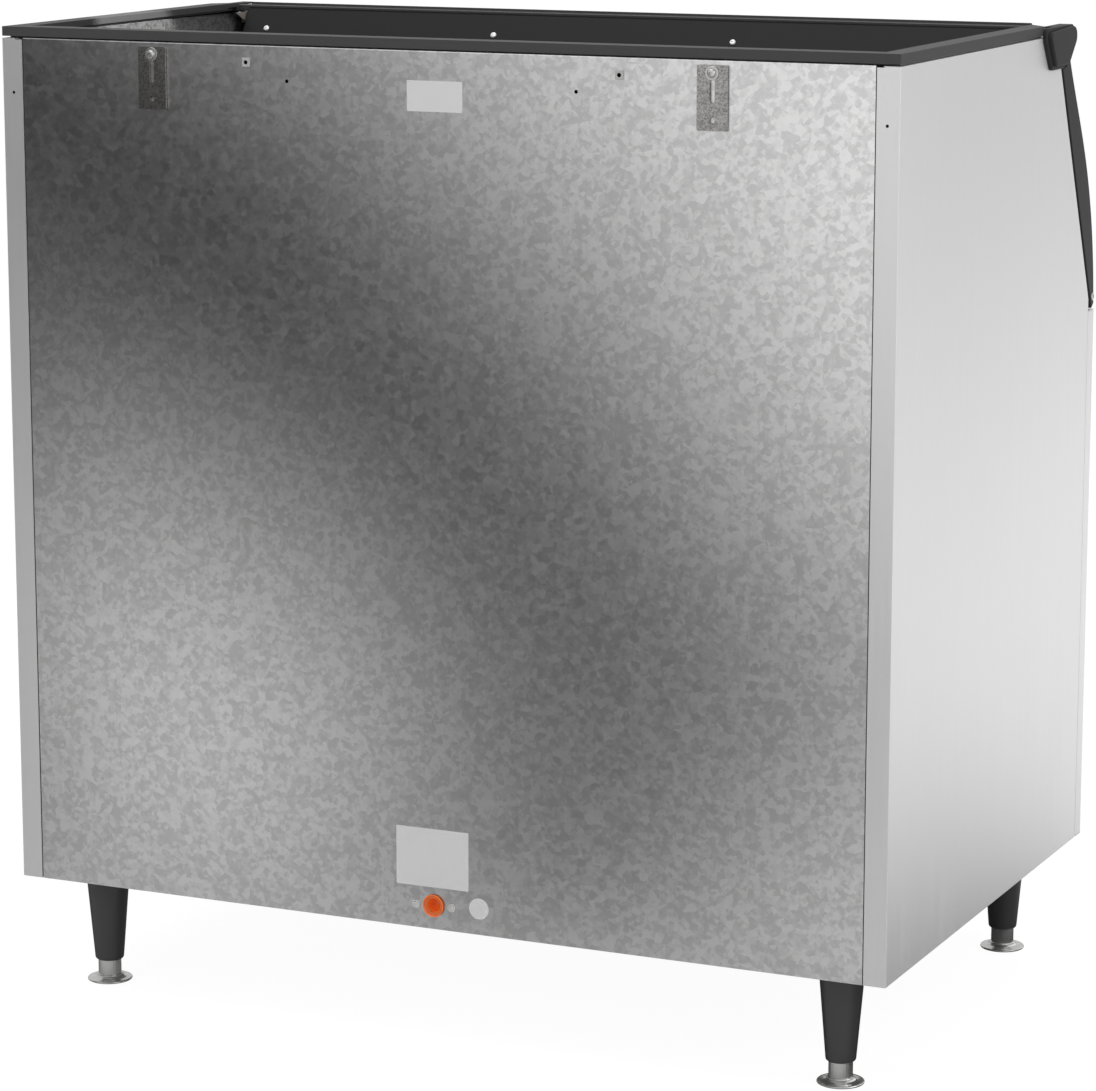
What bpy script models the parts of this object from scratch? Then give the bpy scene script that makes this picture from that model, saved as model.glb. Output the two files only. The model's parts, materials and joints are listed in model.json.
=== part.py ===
"""Ice storage bin: an insulated steel cabinet on four levelling legs, open on top for an ice
machine, with a lift-up front door, a sloping ice baffle, a drain and two slotted brackets.

Metres, +Z up. The door faces -Y and the drain faces +Y. The origin is on the floor, under the
middle of the bin. Depths run forwards from the rear face, heights run up from the bottom edge
of the cabinet.
"""
import math

import bmesh
import bpy
from mathutils import Matrix, Vector

# Fits shared by all the pieces
FIT_GAP = 0.0003
CUT_OVERRUN = 0.004
ROUND_PROFILE_SHARE = 0.5
SHEET = 0.0012

# Cabinet
BODY_WIDTH = 1.2192
BODY_DEPTH = 0.7945
BODY_HEIGHT = 1.1120
LEG_HEIGHT = 0.1537
REAR_FLANGE = 0.0300
TOP_FOLD = 0.0225
EDGE_FOLD = 0.0120
FOOT_FOLD = 0.0200
FOLD_RELIEF = 0.0016
FLANGE_HOLE_INSET = 0.0156
FLANGE_HOLE_DROP = 0.0692
PILOT_HOLE_RADIUS = 0.0016
FRONT_RETURN = 0.0257
FRONT_PANEL_DROP = 0.0280

# Face that the door shuts on, seen from the side
SEAT_TOP_DROP = 0.0446
SEAT_FOOT_INSET = 0.0312
SLOPE_RUN = 0.1419
SLOPE_RISE = 0.3064

# Liner and insulation
LINER_WALL = 0.0030
LINER_FRONT_INSET = 0.0500
LINER_FLOOR_BACK = 0.0180
LINER_FLOOR_FRONT = 0.0600
LINER_CORNER_RADIUS = 0.0350
LINER_FLOOR_RADIUS = 0.0120
LINER_SILL_FLANGE = 0.0110
LINER_CORNER_STEPS = 4
FOAM_FLOOR_HEIGHT = 0.0075

# Machine deck rim
RIM_STANDOFF = 0.00256
RIM_HEIGHT = 0.01224
RIM_WIDTH = 0.0280
RIM_OUTER_LIP = 0.0045
RIM_REBATE = 0.0040
RIM_INNER_RISE = 0.00374
RIM_FRONT_WIDTH = 0.0290
RIM_FRONT_SETBACK = 0.0154
RIM_CORNER_SETBACK = 0.0590
RIM_SHOULDER_SETBACK = 0.0260
RIM_SHOULDER_INSET = 0.0166
RIM_CORNER_INSET = 0.0376
RIM_STEP_DROP = 0.0030
RIM_DRIP_LIP = 0.0035
RIM_NOTCH_RISE = 0.00644
RIM_NOTCH_REACH = 0.0080

# Door surround, header and sill
SURROUND_THICKNESS = 0.0100
OPENING_SIDE_INSET = 0.0646
OPENING_FOOT_UP = 0.0300
OPENING_TOP_INSET = 0.02566
OPENING_CORNER_RADIUS = 0.0220
SURROUND_FOOT_UP = -0.0135
HEADER_SETBACK = 0.0414
HEADER_FOOT_SETBACK = 0.0364
SILL_STEP_HEIGHT = 0.0060
SILL_STEP_WIDTH = 0.0092

# Door leaf, in the slope of the opening: up from its foot and out from its face
DOOR_STANDOFF = 0.0080
PIVOT_RISE = 0.02334
PIVOT_OUT = 0.0240
BARREL_RADIUS = 0.0160
LEAF_CREST_UP = 0.1550
LEAF_CREST_OUT = 0.0565
LEAF_LIP_UP = -0.0316
LEAF_LIP_OUT = 0.0192
LEAF_TIP_UP = -0.0335
LEAF_TIP_OUT = 0.0083
LEAF_WALL = 0.0030
LEAF_STEPS = 7
BARREL_STEPS = 10
LEAF_SHOULDER_RADIUS = 0.0330
LEAF_NECK_INSET = 0.0151
CAVITY_FOOT_UP = 0.0080
CAVITY_TOP_INSET = 0.0250
PULL_HALF_LENGTH = 0.2500
PULL_DEPTH = 0.0060
PULL_FOOT_UP = -0.0240
PULL_TOP_UP = -0.0060
PLUG_SIDE_GAP = 0.0150
PLUG_FOOT_GAP = 0.0100
PLUG_TOP_GAP = 0.0120
PLUG_REACH = 0.0120
PLUG_TAPER = 0.0060
PANEL_THICKNESS = 0.0024
PANEL_EDGE_INSET = 0.0040
GASKET_WIDTH = 0.0140
GASKET_INSET = 0.0100
DOOR_SCREW_RADIUS = 0.0055
DOOR_SCREW_REACH = 0.0232
DOOR_SCREW_DROP = 0.0105
DOOR_SCREW_PROUD = 0.0012

# Hinges and their caps
PIN_RADIUS = 0.0040
PIN_REACH = 0.0200
PIN_HEAD_RADIUS = 0.0060
PIN_HEAD_LENGTH = 0.0018
BUSH_RADIUS = 0.0070
BUSH_LENGTH = 0.0240
BRACKET_PLATE = 0.0030
CAP_PROUD = 0.0115
CAP_BASE_THICKNESS = 0.0040
CAP_WALL = 0.0028
CAP_HOOD_REACH = 0.0126
CAP_TOP_DROP = 0.0006
CAP_HEIGHT = 0.0524
CAP_REAR_SETBACK = 0.0859
CAP_REAR_FOOT_SETBACK = 0.0544
CAP_FRONT_FOOT_REACH = 0.0006
CAP_FRONT_REACH = 0.0521
CAP_BASE_REAR_GROWTH = 0.0080
CAP_BASE_FOOT_GROWTH = 0.0048
CAP_FRONT_RADIUS = 0.0120
CAP_CORNER_RADIUS = 0.0060
CAP_EDGE_RADIUS = 0.0022
CAP_HOOD_SETBACK = 0.0374
CAP_HOOD_FRONT_REACH = 0.0286

# Ice baffle
BAFFLE_SHEET = 0.0025
BAFFLE_TOP_DROP = 0.0052
BAFFLE_BEND_DROP = 0.0022
BAFFLE_SLOPE_DEG = 32.8
BAFFLE_LENGTH = 0.2100
BAFFLE_HEM = 0.0140
BAFFLE_SIDE_INSET = 0.0466
BAFFLE_SCREW_DOWN = 0.0323
BAFFLE_SCREW_END_INSET = 0.0362
BAFFLE_SCREW_COUNT = 4
BAFFLE_SCREW_RADIUS = 0.0042
BAFFLE_SCREW_HEAD = 0.0024
BAFFLE_SHANK_RADIUS = 0.0020
BAFFLE_SHANK_LENGTH = 0.0060
RAIL_END_INSET = 0.0180
RAIL_HALF_HEIGHT = 0.0120
RAIL_ROOT_DROP = 0.0040
RAIL_ROOT_HEIGHT = 0.0320
GUSSET_THICKNESS = 0.0015
GUSSET_SIDE_GAP = 0.0035
GUSSET_FLANGE = 0.0120
GUSSET_RUN = 0.0360
GUSSET_TOP_RISE = 0.0030
GUSSET_HEIGHT = 0.0160
GUSSET_TIP_WIDTH = 0.0045

# Rear face: galvanised panel, machine brackets, grommets and drain
BACK_PANEL_FOLD = 0.0120
BACK_PANEL_TOP_RISE = 0.0012
BACK_PANEL_EDGE_GAP = 0.0006
BACK_PANEL_INSET = 0.0003
TOP_BEND_RADIUS = 0.0020
BRACKET_WIDTH = 0.0395
BRACKET_LENGTH = 0.0777
BRACKET_THICKNESS = 0.0030
BRACKET_SPACING = 0.7626
BRACKET_CENTRE_OFFSET = 0.0064
BRACKET_TOP_DROP = 0.0050
BOLT_DROP = 0.0092
SLOT_WIDTH = 0.0064
SLOT_TRAVEL = 0.0329
BRACKET_HOLE_RADIUS = 0.0035
BRACKET_HOLE_DROP = 0.0561
BOLT_SHANK_RADIUS = 0.0029
BOLT_LENGTH = 0.0120
WASHER_RADIUS = 0.0085
WASHER_THICKNESS = 0.0012
BOLT_HEAD_RADIUS = 0.0058
BOLT_HEAD_HEIGHT = 0.0042
BOLT_POCKET_RADIUS = 0.0060
GROMMET_SIZE = 0.0112
GROMMET_PROUD = 0.0014
GROMMET_STEM = 0.0080
GROMMET_HOLE_RADIUS = 0.0017
GROMMET_HALF_SPACING = 0.2540
GROMMET_DROP = 0.0205
PANEL_HOLE_HALF_SPACING = 0.1970
PANEL_HOLE_DROP = 0.0424
DRAIN_HEIGHT = 0.0310
DRAIN_BORE_RADIUS = 0.0095
DRAIN_TUBE_WALL = 0.0030
DRAIN_FLANGE_THICKNESS = 0.0025
PLUG_RADIUS = 0.0145
PLUG_PROUD = 0.0030
PLUG_RIM_WIDTH = 0.0022
PLUG_CUP_DEPTH = 0.0150
PLUG_SHANK_LENGTH = 0.0220
DRAIN_SCREW_OFFSET = 0.0250
DRAIN_SCREW_RADIUS = 0.0056
DRAIN_SCREW_HEAD = 0.0022
DRAIN_SCREW_SHANK_RADIUS = 0.0020
PLUG_TIP_SHARE = 0.9
PLUG_CUP_SHARE = 0.7
SCREW_CROWN_SHARE = 0.75

# Legs and levelling feet
LEG_SIDE_INSET = 0.0845
LEG_BACK_DEPTH = 0.0764
LEG_FRONT_INSET = 0.0776
LEG_TOP_RADIUS = 0.0295
LEG_FOOT_RADIUS = 0.0190
FOOT_EXTENSION = 0.0287
LEG_EDGE_RADIUS = 0.0040
LEG_BORE_DEPTH = 0.0600
LEG_SEGMENTS = 32
STUD_RADIUS = 0.0060
STUD_RISE = 0.0056
LEG_PLATE_SIZE = 0.1000
LEG_PLATE_THICKNESS = 0.0040
STEM_RADIUS = 0.0154
STEM_INSERTION = 0.0400
STEM_FLATS = 12
DISC_RADIUS = 0.0300
DISC_EDGE = 0.0030
DISC_NECK_HEIGHT = 0.0080

# Places that follow the sizes above
HALF_WIDTH = BODY_WIDTH / 2
SEAT_FOOT_DEPTH = BODY_DEPTH - SEAT_FOOT_INSET
SEAT_TOP_DEPTH = SEAT_FOOT_DEPTH - SLOPE_RUN
SEAT_TOP_HEIGHT = BODY_HEIGHT - SEAT_TOP_DROP
SEAT_FOOT_HEIGHT = SEAT_TOP_HEIGHT - SLOPE_RISE
SLOPE = math.atan2(SLOPE_RUN, SLOPE_RISE)
SLOPE_LENGTH = math.hypot(SLOPE_RUN, SLOPE_RISE)
SEAM_DEPTH = BODY_DEPTH - FRONT_RETURN
PAN_FRONT_DEPTH = SEAM_DEPTH - SHEET - FIT_GAP
FLANGE_HOLE_HEIGHT = BODY_HEIGHT - FLANGE_HOLE_DROP
FRONT_PANEL_HEIGHT = SEAT_FOOT_HEIGHT - FRONT_PANEL_DROP
LINER_HALF_WIDTH = HALF_WIDTH - RIM_WIDTH
LINER_BACK_DEPTH = RIM_WIDTH
LINER_FRONT_DEPTH = BODY_DEPTH - LINER_FRONT_INSET
LINER_TOP_HEIGHT = BODY_HEIGHT + FIT_GAP + LINER_WALL
LINER_SILL_HEIGHT = FRONT_PANEL_HEIGHT + FIT_GAP + LINER_WALL
RIM_BOTTOM_HEIGHT = BODY_HEIGHT + RIM_STANDOFF
RIM_TOP_HEIGHT = RIM_BOTTOM_HEIGHT + RIM_HEIGHT
RIM_INNER_BOTTOM_HEIGHT = RIM_BOTTOM_HEIGHT + RIM_INNER_RISE
RIM_NOTCH_TOP_HEIGHT = RIM_BOTTOM_HEIGHT + RIM_NOTCH_RISE
RIM_FRONT_DEPTH = SEAT_TOP_DEPTH - RIM_FRONT_SETBACK
RIM_FRONT_OPENING_DEPTH = RIM_FRONT_DEPTH - RIM_FRONT_WIDTH
RIM_CORNER_DEPTH = RIM_FRONT_DEPTH - RIM_CORNER_SETBACK
RIM_SHOULDER_DEPTH = RIM_FRONT_DEPTH - RIM_SHOULDER_SETBACK
RIM_SHOULDER_HALF_WIDTH = HALF_WIDTH - RIM_SHOULDER_INSET
RIM_CORNER_HALF_WIDTH = HALF_WIDTH - RIM_CORNER_INSET
OPENING_HALF_WIDTH = HALF_WIDTH - OPENING_SIDE_INSET
OPENING_TOP_UP = SLOPE_LENGTH - OPENING_TOP_INSET
HEADER_BACK_DEPTH = SEAT_TOP_DEPTH - HEADER_SETBACK
HEADER_FOOT_BACK_DEPTH = SEAT_TOP_DEPTH - HEADER_FOOT_SETBACK
PIVOT_UP = SLOPE_LENGTH + PIVOT_RISE
LEAF_NECK_HALF_WIDTH = HALF_WIDTH - LEAF_NECK_INSET
CAVITY_TOP_UP = PIVOT_UP - CAVITY_TOP_INSET
PLUG_HALF_WIDTH = OPENING_HALF_WIDTH - PLUG_SIDE_GAP
PLUG_FOOT_UP = OPENING_FOOT_UP + PLUG_FOOT_GAP
PLUG_TOP_UP = OPENING_TOP_UP - PLUG_TOP_GAP
DOOR_SCREW_DEPTH = SEAT_FOOT_DEPTH + DOOR_SCREW_REACH
DOOR_SCREW_HEIGHT = SEAT_FOOT_HEIGHT - DOOR_SCREW_DROP
CAP_INNER_HALF_WIDTH = HALF_WIDTH - CAP_HOOD_REACH
CAP_TOP_HEIGHT = RIM_TOP_HEIGHT - CAP_TOP_DROP
CAP_FOOT_HEIGHT = CAP_TOP_HEIGHT - CAP_HEIGHT
CAP_REAR_DEPTH = SEAT_TOP_DEPTH - CAP_REAR_SETBACK
CAP_REAR_FOOT_DEPTH = SEAT_TOP_DEPTH - CAP_REAR_FOOT_SETBACK
CAP_FRONT_FOOT_DEPTH = SEAT_TOP_DEPTH + CAP_FRONT_FOOT_REACH
CAP_FRONT_DEPTH = SEAT_TOP_DEPTH + CAP_FRONT_REACH
CAP_HOOD_BACK_DEPTH = SEAT_TOP_DEPTH - CAP_HOOD_SETBACK
CAP_HOOD_FRONT_DEPTH = SEAT_TOP_DEPTH + CAP_HOOD_FRONT_REACH
BAFFLE_TOP_HEIGHT = RIM_TOP_HEIGHT - BAFFLE_TOP_DROP
BAFFLE_BEND_HEIGHT = BAFFLE_TOP_HEIGHT - BAFFLE_BEND_DROP
BAFFLE_HALF_WIDTH = HALF_WIDTH - BAFFLE_SIDE_INSET
BAFFLE_SCREW_SPACING = (2 * (BAFFLE_HALF_WIDTH - BAFFLE_SCREW_END_INSET)
                        / (BAFFLE_SCREW_COUNT - 1))
RAIL_HALF_WIDTH = BAFFLE_HALF_WIDTH - RAIL_END_INSET
RAIL_ROOT_TOP_HEIGHT = BODY_HEIGHT - RAIL_ROOT_DROP
RAIL_ROOT_FOOT_HEIGHT = RAIL_ROOT_TOP_HEIGHT - RAIL_ROOT_HEIGHT
GUSSET_HALF_WIDTH = BAFFLE_HALF_WIDTH + GUSSET_SIDE_GAP
GUSSET_BACK_DEPTH = RIM_FRONT_OPENING_DEPTH - GUSSET_RUN
GUSSET_TOP_HEIGHT = BODY_HEIGHT + GUSSET_TOP_RISE
GUSSET_FOOT_HEIGHT = GUSSET_TOP_HEIGHT - GUSSET_HEIGHT
BACK_PANEL_TOP_HEIGHT = BODY_HEIGHT + BACK_PANEL_TOP_RISE
BRACKET_TOP_HEIGHT = BODY_HEIGHT - BRACKET_TOP_DROP
BOLT_HEIGHT = BRACKET_TOP_HEIGHT - BOLT_DROP
GROMMET_HEIGHT = BODY_HEIGHT - GROMMET_DROP
PANEL_HOLE_HEIGHT = BODY_HEIGHT - PANEL_HOLE_DROP
LEG_HALF_SPACING = HALF_WIDTH - LEG_SIDE_INSET
LEG_LENGTH = LEG_HEIGHT - FOOT_EXTENSION
LEG_FRONT_DEPTH = BODY_DEPTH - LEG_FRONT_INSET
BACK_PROUD = 2 * FIT_GAP + BRACKET_THICKNESS + WASHER_THICKNESS + BOLT_HEAD_HEIGHT
BACK_Y = (BODY_DEPTH - BACK_PROUD) / 2
SIDES = {"left": -1, "right": 1}


# Places

def y_at(depth):
    """World Y of a depth in front of the cabinet's rear face."""
    return BACK_Y - depth


def z_at(height):
    """World Z of a height above the cabinet's bottom edge."""
    return LEG_HEIGHT + height


def on_slope(up, out):
    """Depth and height of a point up the door opening's slope and out from its face."""
    depth = SEAT_FOOT_DEPTH - up * math.sin(SLOPE) + out * math.cos(SLOPE)
    height = SEAT_FOOT_HEIGHT + up * math.cos(SLOPE) + out * math.sin(SLOPE)
    return depth, height


def seat_depth(height, out=0.0):
    """Depth of the line that lies out from the opening's face, at a height."""
    foot = SEAT_FOOT_DEPTH + out / math.cos(SLOPE)
    return foot - (height - SEAT_FOOT_HEIGHT) * math.tan(SLOPE)


def seat_height(depth, out=0.0):
    """Height of the same line at a depth."""
    foot = SEAT_FOOT_DEPTH + out / math.cos(SLOPE)
    return SEAT_FOOT_HEIGHT + (foot - depth) / math.tan(SLOPE)


def floor_height(depth):
    """Height of the liner's floor, which falls to the drain at the back."""
    share = (depth - LINER_BACK_DEPTH) / (LINER_FRONT_DEPTH - LINER_BACK_DEPTH)
    return LINER_FLOOR_BACK + share * (LINER_FLOOR_FRONT - LINER_FLOOR_BACK)


def baffle_point(down, lift):
    """Depth and height of a point down the baffle's slope and lifted off its middle plane."""
    lean = math.radians(BAFFLE_SLOPE_DEG)
    top_depth = RIM_FRONT_OPENING_DEPTH - FIT_GAP - BAFFLE_SHEET / 2
    depth = top_depth - down * math.sin(lean) - lift * math.cos(lean)
    height = BAFFLE_BEND_HEIGHT - down * math.cos(lean) + lift * math.sin(lean)
    return depth, height


# Scene and materials

def clear_scene():
    for old in list(bpy.data.objects):
        bpy.data.objects.remove(old, do_unlink=True)


def make_material(name, colour, roughness, metallic):
    material = bpy.data.materials.new(name)
    material.use_nodes = True
    shader = material.node_tree.nodes["Principled BSDF"]
    shader.inputs["Base Color"].default_value = (*colour, 1.0)
    shader.inputs["Roughness"].default_value = roughness
    shader.inputs["Metallic"].default_value = metallic
    material.diffuse_color = (*colour, 1.0)
    return material


FINISHES = {
    "stainless": ((0.62, 0.62, 0.61), 0.32, 1.0),
    "galvanised": ((0.45, 0.46, 0.47), 0.42, 1.0),
    "bracket_zinc": ((0.24, 0.23, 0.22), 0.55, 1.0),
    "charcoal_plastic": ((0.075, 0.076, 0.078), 0.42, 0.0),
    "black_plastic": ((0.038, 0.038, 0.039), 0.50, 0.0),
    "liner_plastic": ((0.42, 0.42, 0.41), 0.55, 0.0),
    "foam": ((0.80, 0.72, 0.50), 0.95, 0.0),
    "rubber": ((0.020, 0.020, 0.020), 0.70, 0.0),
    "white_nylon": ((0.80, 0.80, 0.79), 0.45, 0.0),
    "orange_plastic": ((0.80, 0.15, 0.02), 0.45, 0.0),
    "zinc": ((0.52, 0.52, 0.52), 0.35, 1.0),
}


# Mesh helpers

def new_object(name, mesh_data, finish, smooth_angle=None):
    mesh = bpy.data.meshes.new(name)
    mesh_data.to_mesh(mesh)
    mesh_data.free()
    if smooth_angle is not None:
        mesh.shade_smooth()
        mesh.set_sharp_from_angle(angle=math.radians(smooth_angle))
    mesh.materials.append(materials[finish])
    thing = bpy.data.objects.new(name, mesh)
    bpy.context.scene.collection.objects.link(thing)
    return thing


def set_origin(thing, point, parent=None):
    """Put the origin on a point, keeping the shape where it is."""
    point = Vector(point)
    thing.data.transform(Matrix.Translation(-point))
    if parent is None:
        thing.location = point
    else:
        thing.parent = parent
        thing.location = point - parent.location


def make_axis(name, point):
    axis = bpy.data.objects.new(name, None)
    axis.location = point
    bpy.context.scene.collection.objects.link(axis)
    return axis


def add_prism(mesh, corners, start, end, place):
    """Extrude an outline from start to end; place turns its two numbers and the run into XYZ."""
    lower = [mesh.verts.new(place(a, b, start)) for a, b in corners]
    upper = [mesh.verts.new(place(a, b, end)) for a, b in corners]
    faces = [mesh.faces.new(lower), mesh.faces.new(list(reversed(upper)))]
    for index in range(len(corners)):
        after = (index + 1) % len(corners)
        faces.append(mesh.faces.new((lower[after], lower[index], upper[index], upper[after])))
    bmesh.ops.recalc_face_normals(mesh, faces=faces)
    return faces


def side_place(depth, height, x):
    return Vector((x, y_at(depth), z_at(height)))


def plan_place(x, depth, height):
    return Vector((x, y_at(depth), z_at(height)))


def rear_place(x, height, depth):
    return Vector((x, y_at(depth), z_at(height)))


def slope_place(x, up, out):
    depth, height = on_slope(up, out)
    return Vector((x, y_at(depth), z_at(height)))


def side_prism(name, corners, start, end, finish, smooth_angle=None):
    """Solid with an outline of depths and heights, running along X."""
    mesh = bmesh.new()
    add_prism(mesh, corners, start, end, side_place)
    return new_object(name, mesh, finish, smooth_angle)


def box(name, x_range, depth_range, height_range, finish):
    corners = [(depth_range[0], height_range[0]), (depth_range[1], height_range[0]),
               (depth_range[1], height_range[1]), (depth_range[0], height_range[1])]
    return side_prism(name, corners, x_range[0], x_range[1], finish)


def rounded(corners, steps=4):
    """Outline with each corner (a, b, radius) turned into an arc."""
    points = []
    count = len(corners)
    for index, (a, b, radius) in enumerate(corners):
        here = Vector((a, b))
        before = Vector(corners[index - 1][:2])
        after = Vector(corners[(index + 1) % count][:2])
        if radius == 0:
            points.append((a, b))
            continue
        to_before = (before - here).normalized()
        to_after = (after - here).normalized()
        half = to_before.angle(to_after) / 2
        centre = here + (to_before + to_after).normalized() * (radius / math.sin(half))
        first = here + to_before * (radius / math.tan(half))
        last = here + to_after * (radius / math.tan(half))
        start = math.atan2(first.y - centre.y, first.x - centre.x)
        turn = math.atan2(last.y - centre.y, last.x - centre.x) - start
        turn = (turn + math.pi) % (2 * math.pi) - math.pi
        for step in range(steps + 1):
            angle = start + turn * step / steps
            points.append((centre.x + radius * math.cos(angle),
                           centre.y + radius * math.sin(angle)))
    return points


def inset(corners, distance):
    """Outline of (a, b, radius) corners moved inwards, its rounds made smaller to match."""
    moved = []
    for index, (a, b, radius) in enumerate(corners):
        here = Vector((a, b))
        before = (here - Vector(corners[index - 1][:2])).normalized()
        after = (Vector(corners[(index + 1) % len(corners)][:2]) - here).normalized()
        first = Vector((-before.y, before.x))
        second = Vector((-after.y, after.x))
        here += (first + second) * distance / (1 + first.dot(second))
        moved.append((here.x, here.y, max(radius - distance, radius / 4)))
    return moved


def rectangle(low_a, high_a, low_b, high_b, radius=0.0, steps=4):
    return rounded([(low_a, low_b, radius), (high_a, low_b, radius),
                    (high_a, high_b, radius), (low_a, high_b, radius)], steps)


def add_ring(mesh, outer, inner, start, end, place):
    """Extruded frame between two outlines that have as many points."""
    loops = []
    for run in (start, end):
        loops.append([mesh.verts.new(place(a, b, run)) for a, b in outer])
        loops.append([mesh.verts.new(place(a, b, run)) for a, b in inner])
    outer_low, inner_low, outer_high, inner_high = loops
    faces = []
    for index in range(len(outer)):
        after = (index + 1) % len(outer)
        for one, two in ((outer_low, inner_low), (inner_low, inner_high),
                         (inner_high, outer_high), (outer_high, outer_low)):
            faces.append(mesh.faces.new((one[index], one[after], two[after], two[index])))
    bmesh.ops.recalc_face_normals(mesh, faces=faces)
    return faces


def add_turned(mesh, profile, centre, axis, segments):
    """Spin a profile of (radius, run) pairs about an axis; ends on the axis close it."""
    turn_to_axis = Vector((0, 0, 1)).rotation_difference(Vector(axis)).to_matrix()
    rings = []
    for radius, run in profile:
        if radius == 0:
            rings.append([mesh.verts.new(Vector(centre) + turn_to_axis @ Vector((0, 0, run)))])
            continue
        ring = []
        for step in range(segments):
            angle = 2 * math.pi * (step + 0.5) / segments
            local = Vector((radius * math.cos(angle), radius * math.sin(angle), run))
            ring.append(mesh.verts.new(Vector(centre) + turn_to_axis @ local))
        rings.append(ring)
    pairs = list(zip(rings, rings[1:]))
    if len(rings[0]) > 1:
        pairs.append((rings[-1], rings[0]))
    faces = []
    for one, two in pairs:
        for step in range(segments):
            after = (step + 1) % segments
            if len(one) == 1:
                faces.append(mesh.faces.new((one[0], two[step], two[after])))
            elif len(two) == 1:
                faces.append(mesh.faces.new((one[step], two[0], one[after])))
            else:
                faces.append(mesh.faces.new((one[step], two[step], two[after], one[after])))
    bmesh.ops.recalc_face_normals(mesh, faces=faces)
    return faces


def turned(name, profile, centre, axis, segments, finish):
    mesh = bmesh.new()
    add_turned(mesh, profile, centre, axis, segments)
    return new_object(name, mesh, finish, 40)


def cylinder_profile(radius, start, end):
    return [(0, start), (radius, start), (radius, end), (0, end)]


def tube_profile(inner, outer, start, end):
    return [(inner, start), (outer, start), (outer, end), (inner, end)]


def combine(target, tool, operation):
    """Boolean of two solids; the tool stays as a hidden guide."""
    tool.name = f"guide_{tool.name}"
    tool.hide_render = True
    tool.display_type = "WIRE"
    step = target.modifiers.new(tool.name, "BOOLEAN")
    step.operation = operation
    step.object = tool
    return step


def cut(target, tool):
    combine(target, tool, "DIFFERENCE")


def join(target, tool):
    combine(target, tool, "UNION")


def cut_holes(target, name, centres, radius, start_depth, end_depth, segments=12):
    """Round holes along the depth, at centres of (x, height)."""
    mesh = bmesh.new()
    for x, height in centres:
        centre = (x, y_at(start_depth), z_at(height))
        run = end_depth - start_depth
        add_turned(mesh, cylinder_profile(radius, 0, run), centre, (0, -1, 0), segments)
    cut(target, new_object(name, mesh, "zinc"))


def folded_sheet(name, corners, folds, place, run, inward, finish, thickness=SHEET):
    """Flat sheet with an edge fold along each side that has a width, thickened inwards.

    corners are the flat face's outline, folds the width of the fold on the edge that starts
    at each corner. run is the face's place and inward the sign of the folds' direction.
    """
    mesh = bmesh.new()
    count = len(corners)
    outline = []
    flaps = []
    for index in range(count):
        start = Vector(corners[index])
        end = Vector(corners[(index + 1) % count])
        first = mesh.verts.new(place(start.x, start.y, run))
        relief = start + (end - start).normalized() * FOLD_RELIEF
        second = mesh.verts.new(place(relief.x, relief.y, run))
        outline += [first, second]
        flaps.append((relief, second, end, folds[index]))
    face = mesh.faces.new(outline)
    for index, (relief, second, end, width) in enumerate(flaps):
        if width == 0:
            continue
        last = outline[(2 * index + 2) % len(outline)]
        outer_end = mesh.verts.new(place(end.x, end.y, run + inward * width))
        outer_start = mesh.verts.new(place(relief.x, relief.y, run + inward * width))
        mesh.faces.new((second, last, outer_end, outer_start))
    bmesh.ops.recalc_face_normals(mesh, faces=mesh.faces[:])
    outwards = place(corners[0][0], corners[0][1], run - inward * thickness)
    outwards = outwards - place(corners[0][0], corners[0][1], run)
    mesh.normal_update()
    if face.normal.dot(outwards) < 0:
        bmesh.ops.reverse_faces(mesh, faces=mesh.faces[:])
    thing = new_object(name, mesh, finish)
    wall = thing.modifiers.new("sheet", "SOLIDIFY")
    wall.solidify_mode = "NON_MANIFOLD"
    wall.nonmanifold_thickness_mode = "CONSTRAINTS"
    wall.thickness = thickness
    wall.offset = -1
    return thing


# Cabinet shell

def build_side_panels():
    """Folded side skins: rear flange, top shelf, door edge, seam edge and foot."""
    corners = [(0, 0), (0, BODY_HEIGHT), (seat_depth(BODY_HEIGHT), BODY_HEIGHT),
               (SEAM_DEPTH, seat_height(SEAM_DEPTH)), (SEAM_DEPTH, 0)]
    folds = [REAR_FLANGE, TOP_FOLD, EDGE_FOLD, EDGE_FOLD, FOOT_FOLD]
    for side, sign in SIDES.items():
        panel = folded_sheet(f"{side}_side_panel", corners, folds, side_place,
                             sign * HALF_WIDTH, -sign, "stainless")
        hole = (sign * (HALF_WIDTH - FLANGE_HOLE_INSET), FLANGE_HOLE_HEIGHT)
        cut_holes(panel, f"{side}_flange_hole", [hole], PILOT_HOLE_RADIUS,
                  -CUT_OVERRUN, CUT_OVERRUN)


def build_front_panel():
    """Front skin, folded round the cabinet's sides, its top shelf and its foot."""
    corners = [(-HALF_WIDTH, 0), (HALF_WIDTH, 0),
               (HALF_WIDTH, FRONT_PANEL_HEIGHT), (-HALF_WIDTH, FRONT_PANEL_HEIGHT)]
    side_fold = FRONT_RETURN - FIT_GAP
    folds = [FOOT_FOLD, side_fold, side_fold, side_fold]

    def place(x, height, depth):
        return Vector((x, y_at(depth), z_at(height)))

    folded_sheet("front_panel", corners, folds, place, BODY_DEPTH, -1, "stainless")


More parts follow.
